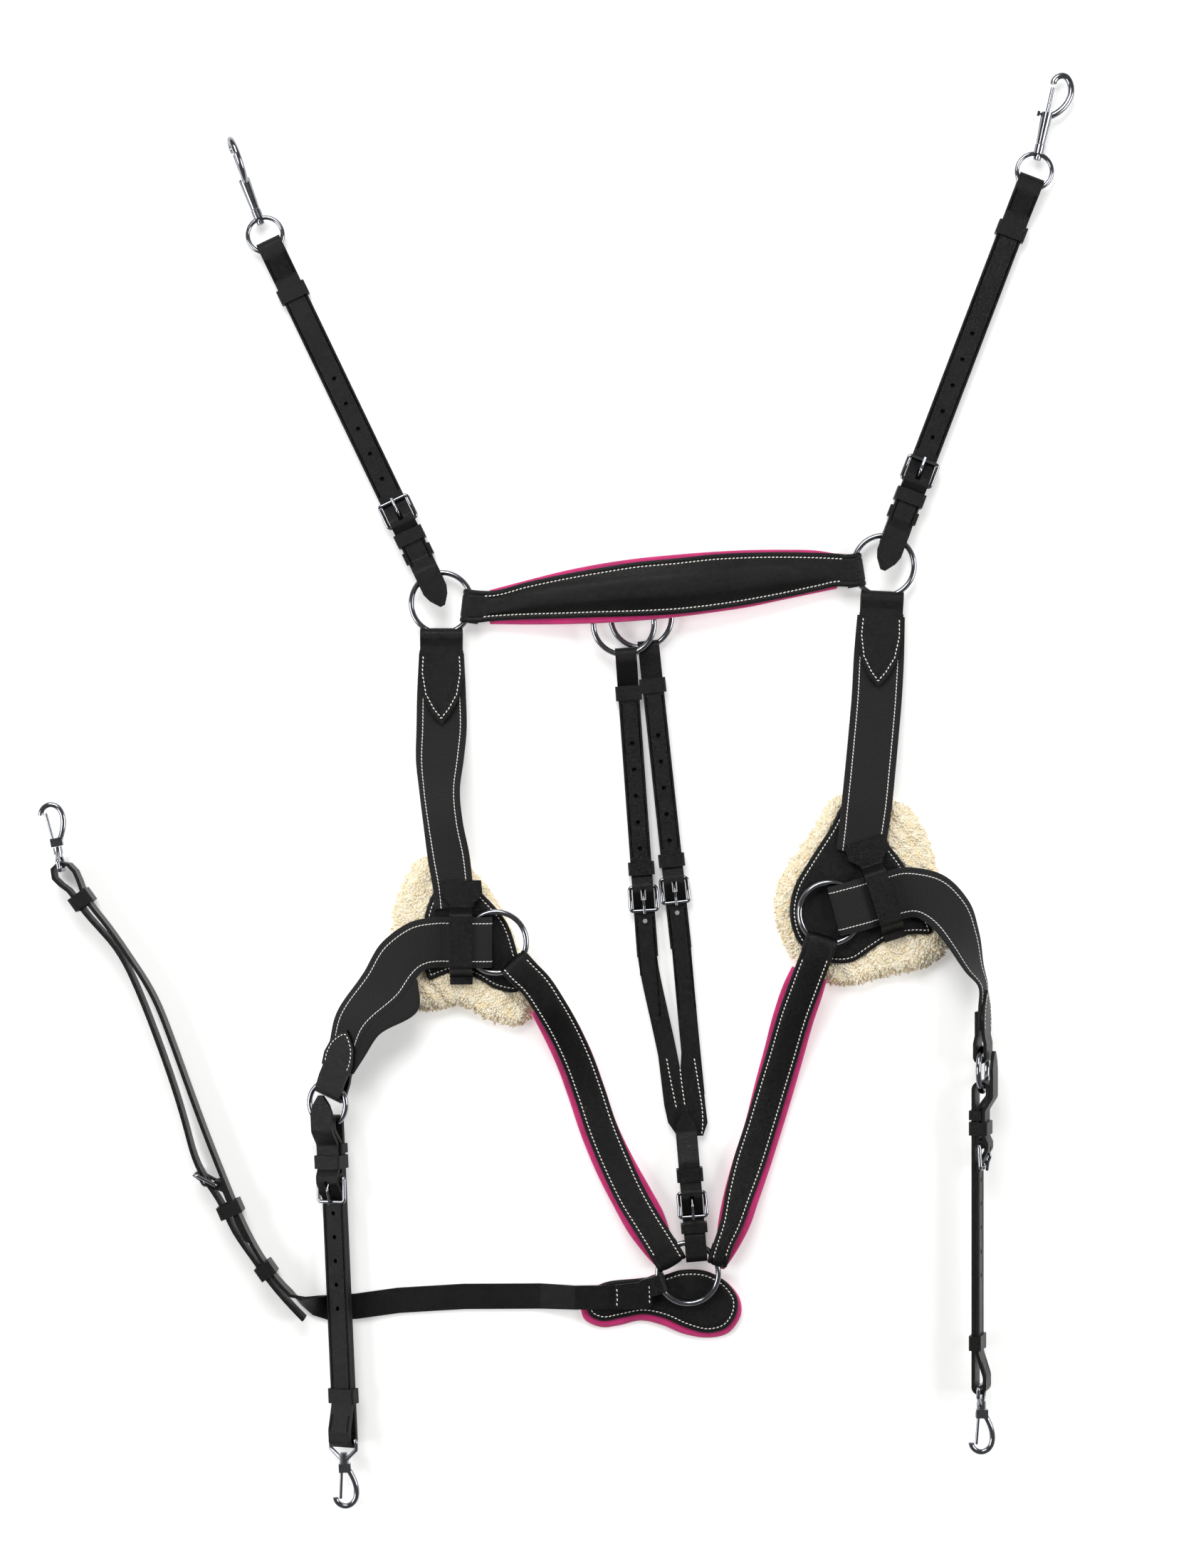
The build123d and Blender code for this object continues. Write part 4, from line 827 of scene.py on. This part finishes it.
LEATHER_R = [
    (136, 378), (127, 361), (111, 336), (100, 317), (96, 298), (99, 281), (106, 270), (118, 261),
    (132, 258), (145, 260), (157, 268), (172, 277), (188, 280), (203, 281), (200, 294), (191, 317),
    (181, 334), (170, 349), (160, 368), (148, 377),
]


def fleece_height(x, y, d):
    """Rounded pile: steep at the edge, nearly level under the leather, lumpy all over."""
    k = min(1.0, d / 9.0)
    lump = 0.9 * wave(x, y, 4.2) + 0.35 * wave(x, y, 1.7, 2.0)
    return 3.5 + (FLEECE_TOP - 4.6) * math.sqrt(1 - (1 - k) ** 2) + lump * min(1.0, d / 2)


def curls(outline, leather, count, seed):
    """Short bent curls of wool over the open part of the pad and round its edge."""
    rng = random.Random(seed)
    loop = np.array(smooth_path(outline, closed=True, step=2.0))
    low = loop.min(axis=0)
    high = loop.max(axis=0)
    tries = [(rng.uniform(low[0], high[0]), rng.uniform(low[1], high[1])) for _ in range(count * 9)]
    d, inside = outline_distance(tries, loop)
    cover = np.array(smooth_path(leather, closed=True, step=2.0))
    reach, under = outline_distance(tries, cover)
    centre = loop.mean(axis=0)
    verts = []
    faces = []
    made = 0
    for (x, y), far, ok, gap, hidden in zip(tries, d, inside, reach, under):
        if made >= count or not ok or (hidden and gap > 1.5):
            continue
        made += 1
        near = loop[np.argmin(np.linalg.norm(loop - (x, y), axis=1))]
        out = np.array((near[0] - x, near[1] - y))
        out = out / max(np.linalg.norm(out), 0.5) if far < 12 else (np.array((x, y)) - centre) / 60
        edge = max(0.0, 1 - far / 10.0)
        z = fleece_height(x, y, far) - 1.2
        if far < 3 and rng.random() < 0.6:
            z = rng.uniform(1.5, max(z, 2.0))
        angle = rng.uniform(0, 2 * math.pi)
        long = sizes().curl / MM * rng.uniform(0.55, 1.0) * (1.0 if not hidden else 0.5)
        lean = np.array((out[0] * (0.3 + edge), out[1] * (0.3 + edge), 1.15 - edge * 0.8))
        lean += np.array((math.cos(angle), math.sin(angle), 0)) * 0.45
        lean /= np.linalg.norm(lean)
        bend = np.array((math.cos(angle + 1.8), math.sin(angle + 1.8), -0.25)) * long * 0.35
        side = np.cross(lean, (0.0, 0.0, 1.0) if abs(lean[2]) < 0.9 else (1.0, 0.0, 0.0))
        side /= np.linalg.norm(side)
        third = np.cross(lean, side)
        base = len(verts)
        for s, r in ((0.0, 1.45), (0.4, 1.35), (0.75, 0.95), (1.0, 0.35)):
            spot = np.array((x, y, z)) + lean * long * s * 0.8 + bend * s * s
            for q in range(4):
                a = q * math.pi / 2 + s * 2.0
                verts.append(spot + (side * math.cos(a) + third * math.sin(a)) * r)
        for i in range(3):
            for q in range(4):
                faces.append((base + i * 4 + q, base + i * 4 + (q + 1) % 4,
                              base + i * 4 + 4 + (q + 1) % 4, base + i * 4 + 4 + q))
        faces.append((base + 12, base + 13, base + 14, base + 15))
    return verts, faces, [(v[0] * MM, v[1] * MM) for v in verts]


class BREASTPLATE_OT_shoulder_pads(bpy.types.Operator):
    """Shoulder pads: sheepskin underlay with its curls, and the sewn leather top"""
    bl_idname = "breastplate.shoulder_pads"
    bl_label = "Shoulder pads"

    def execute(self, context):
        for hand, wool, cut in (("left", FLEECE_L, LEATHER_L), ("right", FLEECE_R, LEATHER_R)):
            base = panel(wool, 0.3, fleece_height, 2.2)
            hair = curls(wool, cut, sizes().curls, sizes().seed + len(hand))
            fleece = make_piece(f"sheepskin_{hand}", join(base, hair), sheepskin())
            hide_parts(f"shoulder_fleece_{hand}")
            dome = sewn_top(PAD_TOP - 0.35, 0.3, 9, 1.0 if hand == "left" else 3.0)
            leather = make_piece(f"shoulder_leather_{hand}", panel(cut, FLEECE_TOP + 0.2, dome),
                                 bridle_leather())
            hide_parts(f"shoulder_pad_{hand}")
            path = inset_path(cut, sizes().seam / MM)
            sew(f"shoulder_seam_{hand}", [project([leather.name], path + path[:1], 0.1)])
        return {"FINISHED"}


# ---- elastic webbing ----
def shoulder_run(hand):
    if hand == "left":
        tab = ring_frame(SADDLE_L, -90)
        pairs = [edge_pair(tab, WEB_W - 4, 38), edge_pair(tab, WEB_W - 1, 70), edge_pair(tab, WEB_W, 96)]
        spots = [(-168.0, 412, 12, -89, 16, 38), (-168.0, 388, 16, -86, 30, 36), (-165.0, 362, 19.5, -82, 24, 33),
                 (-161.0, 338, WEB_ON_PAD, -82, 8, 32), (-157.5, 312, WEB_ON_PAD, -86, 0, 30),
                 (-156.5, 300, WEB_ON_PAD, -86, 0, 30)]
    else:
        tab = ring_frame(SADDLE_R, -93)
        pairs = [edge_pair(tab, WEB_W - 2, 38), edge_pair(tab, WEB_W, 70), edge_pair(tab, WEB_W, 98)]
        spots = [(159.5, 430, 10.5, -94, 0, 38), (156.5, 402, 15, -97, 0, 38), (153.5, 376, 19, -99, 0, 38),
                 (151.0, 356, WEB_ON_PAD + 0.1, -101, 0, 37), (148.5, 340, WEB_ON_PAD + 0.1, -103, 0, 36)]
    return flow(pairs + [edge_pair(place(x, y, z, h, roll), w) for x, y, z, h, roll, w in spots], 3.0)


def into_tab(tab):
    """Edge pairs of a girth elastic where it narrows into its end tab."""
    back = Matrix.Rotation(math.pi, 4, "Z")
    return [edge_pair(tab @ Matrix.Translation((s, 0, 0)) @ back, w)
            for s, w in ((64, 30.0), (46, 27.0), (30, 25.0))]


def girth_run(hand):
    up = -1.3
    if hand == "left":
        fold = ring_frame(SHOULDER_L, 180)
        tab = girth_tab_frame(GIRTH_L, -87.5, 30, 158)
        spots = [(-184, 271.5, 21, 196, 2, 38), (-198, 261, 21.5, 222, 10, 38), (-209.5, 243, 23, 240, 22, 38)]
    else:
        fold = ring_frame(SHOULDER_R, 15)
        tab = girth_tab_frame(GIRTH_R, -90, -72, 180)
        spots = [(186, 312, 21, 6, 0, 38), (203, 308, 21.5, -24, -8, 38), (217, 295, 22, -50, -24, 38),
                 (227, 275, 22, -68, -45, 38), (235, 254, 21, -78, -62, 34)]
    pairs = ring_turn(fold, 3.0, WEB_T, WEB_W, FOLD_IN, 43.0)
    pairs += [edge_pair(fold, WEB_W, s, z) for s, z in ((26, 3.6), (34, up + 0.6), (44, up))]
    pairs += [edge_pair(place(x, y, z, h, roll), w) for x, y, z, h, roll, w in spots]
    return flow(pairs + into_tab(tab), 2.6)


def turned_edge():
    """Edge pairs of the left girth elastic's lower edge, turned back on its way to the end tab."""
    stations = [edge_pair(place(-198, 261, 21.5, 222, 10), 38), edge_pair(place(-209.5, 243, 23, 240, 22), 38)]
    stations += into_tab(girth_tab_frame(GIRTH_L, -87.5, 30, 158))
    pairs = []
    for (low, high), reach in zip(stations, (2, 15, 10, 6, 2)):
        out = (low - high).normalized()
        pairs.append((low + out * reach - Vector((0, 0, 0.35 * reach)), low - out * 1.2 - Vector((0, 0, 0.3))))
    return pairs


class BREASTPLATE_OT_elastics(bpy.types.Operator):
    """Elastic webbing of the shoulders and the girth with its white woven lines"""
    bl_idname = "breastplate.elastics"
    bl_label = "Elastics"

    def execute(self, context):
        for name, make in (("shoulder", shoulder_run), ("girth", girth_run)):
            for hand in ("left", "right"):
                run = make(hand)
                shapes = [band(run, lambda h: plain_section(h, WEB_T))]
                if (name, hand) == ("girth", "left"):  # its lower edge turns back under itself
                    shapes.append(band(flow(turned_edge(), 2.6), lambda h: plain_section(h, WEB_T)))
                web = make_piece(f"{name}_webbing_{hand}", join(*shapes), ribbed_elastic())
                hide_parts(f"{name}_elastic_{hand}")
                rows = [seam_run(run, side, WEB_LINE, WEB_T / 2) for side in (-1, 1)]
                sew(f"{name}_webbing_lines_{hand}", rows, pitch=2.6, long=0.9, thick=0.7)
        return {"FINISHED"}


# ---- chest straps ----
CHEST_R_RUN = [
    (107.5, 243, 20.5), (98.5, 217, 15.5), (91, 190, 10), (82.5, 161, 6.2), (74, 133, 6.2),
    (65, 105, 7.2), (57.8, 82, 10.5), (51.5, 60, 14),
]
CHEST_L_RUN = [
    (-96, 243, 23.5), (-84, 225, 21), (-73.5, 206, 14), (-64, 185, 9), (-55, 160, 6.2), (-46, 133, 6.2),
    (-34.5, 105, 7.2), (-22.5, 80, 10), (-11.5, 62, 13.5),
]


CHEST_FOAM = {
    # centre and width; it shows past the leather on the outer side, and on both sides near the ring
    "left": [(-87.0, 227, 21, 27), (-76.0, 206, 14, 28), (-66.4, 185, 9, 28.5), (-57.4, 160, 6.2, 28.5),
             (-48.4, 133, 6.2, 28.5), (-36, 105, 7.2, 30), (-22.5, 80, 10, 31), (-12.0, 61, 12.5, 30.5),
             (-5.0, 47, 12.5, 25), (-0.5, 36, 12.0, 18), (1.5, 28, 11.4, 9)],
    "right": [(110.6, 251, 20.8, 28), (107.5, 243, 20.5, 30), (98.9, 217, 15.5, 31), (92, 190, 10, 30.5),
              (84.2, 161, 6.2, 30),
              (76.4, 133, 6.2, 28.5), (67.4, 105, 7.2, 28.5), (60.0, 82, 10.5, 27.0), (54.0, 61, 13, 24),
              (50.0, 48, 12.6, 19), (46.0, 36, 12.0, 13), (43.2, 28, 11.4, 8)],
}


def laid(points, width, lift, widths=None):
    """Edge pairs of a level band along centre points."""
    pts = [np.array(p, float) for p in points]
    pairs = []
    for i, p in enumerate(pts):
        a = pts[max(0, i - 1)]
        b = pts[min(len(pts) - 1, i + 1)]
        t = (b - a)[:2] / np.linalg.norm((b - a)[:2])
        side = np.array((-t[1], t[0], 0.0))
        mid = p + np.array((0, 0, lift))
        half = (widths[i] if widths else width) / 2
        pairs.append((Vector(mid + side * half), Vector(mid - side * half)))
    return pairs


class BREASTPLATE_OT_chest_straps(bpy.types.Operator):
    """Both chest straps: padded lining, leather folded round the rings and two rows of stitches"""
    bl_idname = "breastplate.chest_straps"
    bl_label = "Chest straps"

    def execute(self, context):
        parts = []
        for hand, line, top, head, low, foot, (fold, wide) in (
                ("left", CHEST_L_RUN, SHOULDER_L, -48, (14.6, 19.5), 121, (12.4, 23.0)),
                ("right", CHEST_R_RUN, SHOULDER_R, -108, (36.7, 16.7), 73, (14.0, 15.0))):
            start = ring_turn(ring_frame(top, head), 17.5, LEATHER, 24.0, FOLD_IN, 33.0)
            spot = place(low[0], low[1], CHEST_RING[2], foot)
            end = ring_turn(spot, fold, LEATHER, wide, FOLD_IN, 29.0, arriving=True)
            end.insert(0, tuple(reversed(edge_pair(spot, wide, 29.0, 3.9))))
            widths = [24.0] * (len(line) - 2) + [0.3 * wide + 16.5, 0.7 * wide + 6.5]
            run = flow(start + laid(line, 24.0, LEATHER / 2, widths) + end, 2.6)
            strap = make_piece(f"chest_leather_{hand}", band(run, lambda h: leather_section(h, 0.5, CHEST_SEAM)),
                               bridle_leather())
            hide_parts(f"chest_strap_{hand}")
            rows = []
            for side in (-1, 1):
                row = seam_run(run, side, CHEST_SEAM, LEATHER / 2 - 0.05)
                rows.append([s for s in row if s[1][2] > 0.6 and 36 < s[0][1] < 262])
            sew(f"chest_seams_{hand}", rows)
            foam = flow(laid([p[:3] for p in CHEST_FOAM[hand]], 28.5, -0.3 - PADDING / 2,
                             widths=[p[3] for p in CHEST_FOAM[hand]]), 3.0)
            parts.append(band(foam, lambda h: padded_section(h, PADDING)))
        lining = make_piece("chest_linings", join(*parts), brushed_lining())
        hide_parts("chest_strap_linings")
        return {"FINISHED"}


# ---- chest pad ----
CHEST_LEATHER = [
    (-58, -2), (-54, -9.5), (-44, -13), (-30, -10.5), (-14, -7.8), (2, -11), (18, -18), (34, -22),
    (48, -18.5), (56, -8), (57, 4), (51, 14), (42, 21), (30, 25.5), (14, 25.5), (0, 21.5), (-20, 19),
    (-40, 17), (-52, 12), (-58, 5),
]
CHEST_LINING = [
    (-62, -3), (-58.5, -13), (-46, -18.5), (-32, -17), (-16, -13.5), (0, -17), (16, -23.5), (34, -26.5),
    (50, -23), (59.5, -10), (59.0, 3), (51.5, 13.5), (42, 20.0), (30, 24.0), (14, 24.0), (0, 20.0),
    (-20, 17.5), (-40, 15.5), (-54, 11), (-62, 4),
]


class BREASTPLATE_OT_chest_pad(bpy.types.Operator):
    """Chest pad: foam lining and sewn leather top"""
    bl_idname = "breastplate.chest_pad"
    bl_label = "Chest pad"

    def execute(self, context):
        def foam(x, y, d):
            k = min(1.0, d / 3.0)
            return 1.2 + (PADDING - 1.2) * math.sqrt(1 - (1 - k) ** 2)
        lining = make_piece("chest_pad_foam", panel(CHEST_LINING, 0.0, foam, 2.2), brushed_lining())
        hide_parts("chest_pad_lining")
        dome = sewn_top(PADDING + LEATHER + 0.2, 0.2, 8)
        leather = make_piece("chest_pad_top", panel(CHEST_LEATHER, PADDING + 0.2, dome),
                             bridle_leather())
        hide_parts("chest_pad_leather")
        path = inset_path(CHEST_LEATHER, sizes().seam / MM)
        sew("chest_pad_seam", [project([leather.name], path + path[:1], 0.1)])
        return {"FINISHED"}


# ---- stage ----
class BREASTPLATE_OT_stage(bpy.types.Operator):
    """Pale floor, soft studio lights and the overhead camera"""
    bl_idname = "breastplate.stage"
    bl_label = "Stage"

    def execute(self, context):
        scene = context.scene
        mesh = bpy.data.meshes.new("floor")
        corners = [(x * TABLE_HALF, y * TABLE_HALF, -TABLE_DROP) for x, y in ((-1, -1), (1, -1), (1, 1), (-1, 1))]
        mesh.from_pydata(corners, [], [(0, 1, 2, 3)])
        mesh.materials.append(table_top())
        floor = bpy.data.objects.new("floor", mesh)
        scene.collection.objects.link(floor)
        world = bpy.data.worlds.new("studio")
        world.use_nodes = True
        ground = world.node_tree.nodes["Background"].inputs
        ground["Color"].default_value = WHITE
        ground["Strength"].default_value = 0.16
        scene.world = world
        for name, spot, aim, size, power in (("soft_top", (-0.4, 1.9, 1.7), (0, 0.3, 0), 1.3, 38),
                                             ("soft_left", (-1.8, 0.1, 1.2), (0, 0.3, 0), 1.1, 25),
                                             ("soft_right", (1.8, 0.5, 1.2), (0, 0.3, 0), 1.1, 25)):
            light = bpy.data.lights.new(name, "AREA")
            light.size = size
            light.energy = power
            lamp = bpy.data.objects.new(name, light)
            lamp.location = spot
            lamp.rotation_euler = (Vector(spot) - Vector(aim)).to_track_quat("Z", "Y").to_euler()
            scene.collection.objects.link(lamp)
        camera = bpy.data.cameras.new("overhead")
        camera.sensor_fit = "VERTICAL"
        camera.sensor_height = SENSOR
        camera.lens = SENSOR * EYE_HEIGHT / VIEW_HEIGHT
        eye = bpy.data.objects.new("overhead", camera)
        eye.location = (-0.0486, 0.3934, EYE_HEIGHT)
        scene.collection.objects.link(eye)
        scene.camera = eye
        scene.view_settings.view_transform = "Standard"
        return {"FINISHED"}


class BREASTPLATE_PT_panel(bpy.types.Panel):
    """Steps and settings of the breastplate"""
    bl_idname = "BREASTPLATE_PT_panel"
    bl_label = "Breastplate"
    bl_space_type = "VIEW_3D"
    bl_region_type = "UI"
    bl_category = "Breastplate"

    def draw(self, context):
        for group in (context.scene.breastplate_sizes, context.scene.breastplate_colours):
            for key in group.__annotations__:
                self.layout.prop(group, key)
        for step in STEPS:
            self.layout.operator(step.bl_idname)


STEPS = [BREASTPLATE_OT_stage, BREASTPLATE_OT_fittings, BREASTPLATE_OT_wither_pad, BREASTPLATE_OT_shoulder_pads,
         BREASTPLATE_OT_elastics, BREASTPLATE_OT_chest_straps, BREASTPLATE_OT_chest_pad, BREASTPLATE_OT_straps]
CLASSES = [BreastplateColours, BreastplateSizes] + STEPS + [BREASTPLATE_PT_panel]


def register():
    for item in CLASSES:
        bpy.utils.register_class(item)
    bpy.types.Scene.breastplate_colours = PointerProperty(type=BreastplateColours)
    bpy.types.Scene.breastplate_sizes = PointerProperty(type=BreastplateSizes)


def unregister():
    del bpy.types.Scene.breastplate_sizes
    del bpy.types.Scene.breastplate_colours
    for item in reversed(CLASSES):
        bpy.utils.unregister_class(item)


def main():
    register()
    for step in STEPS:
        group, action = step.bl_idname.split(".")
        getattr(getattr(bpy.ops, group), action)()
    bpy.context.view_layer.update()


if __name__ == "__main__":
    main()
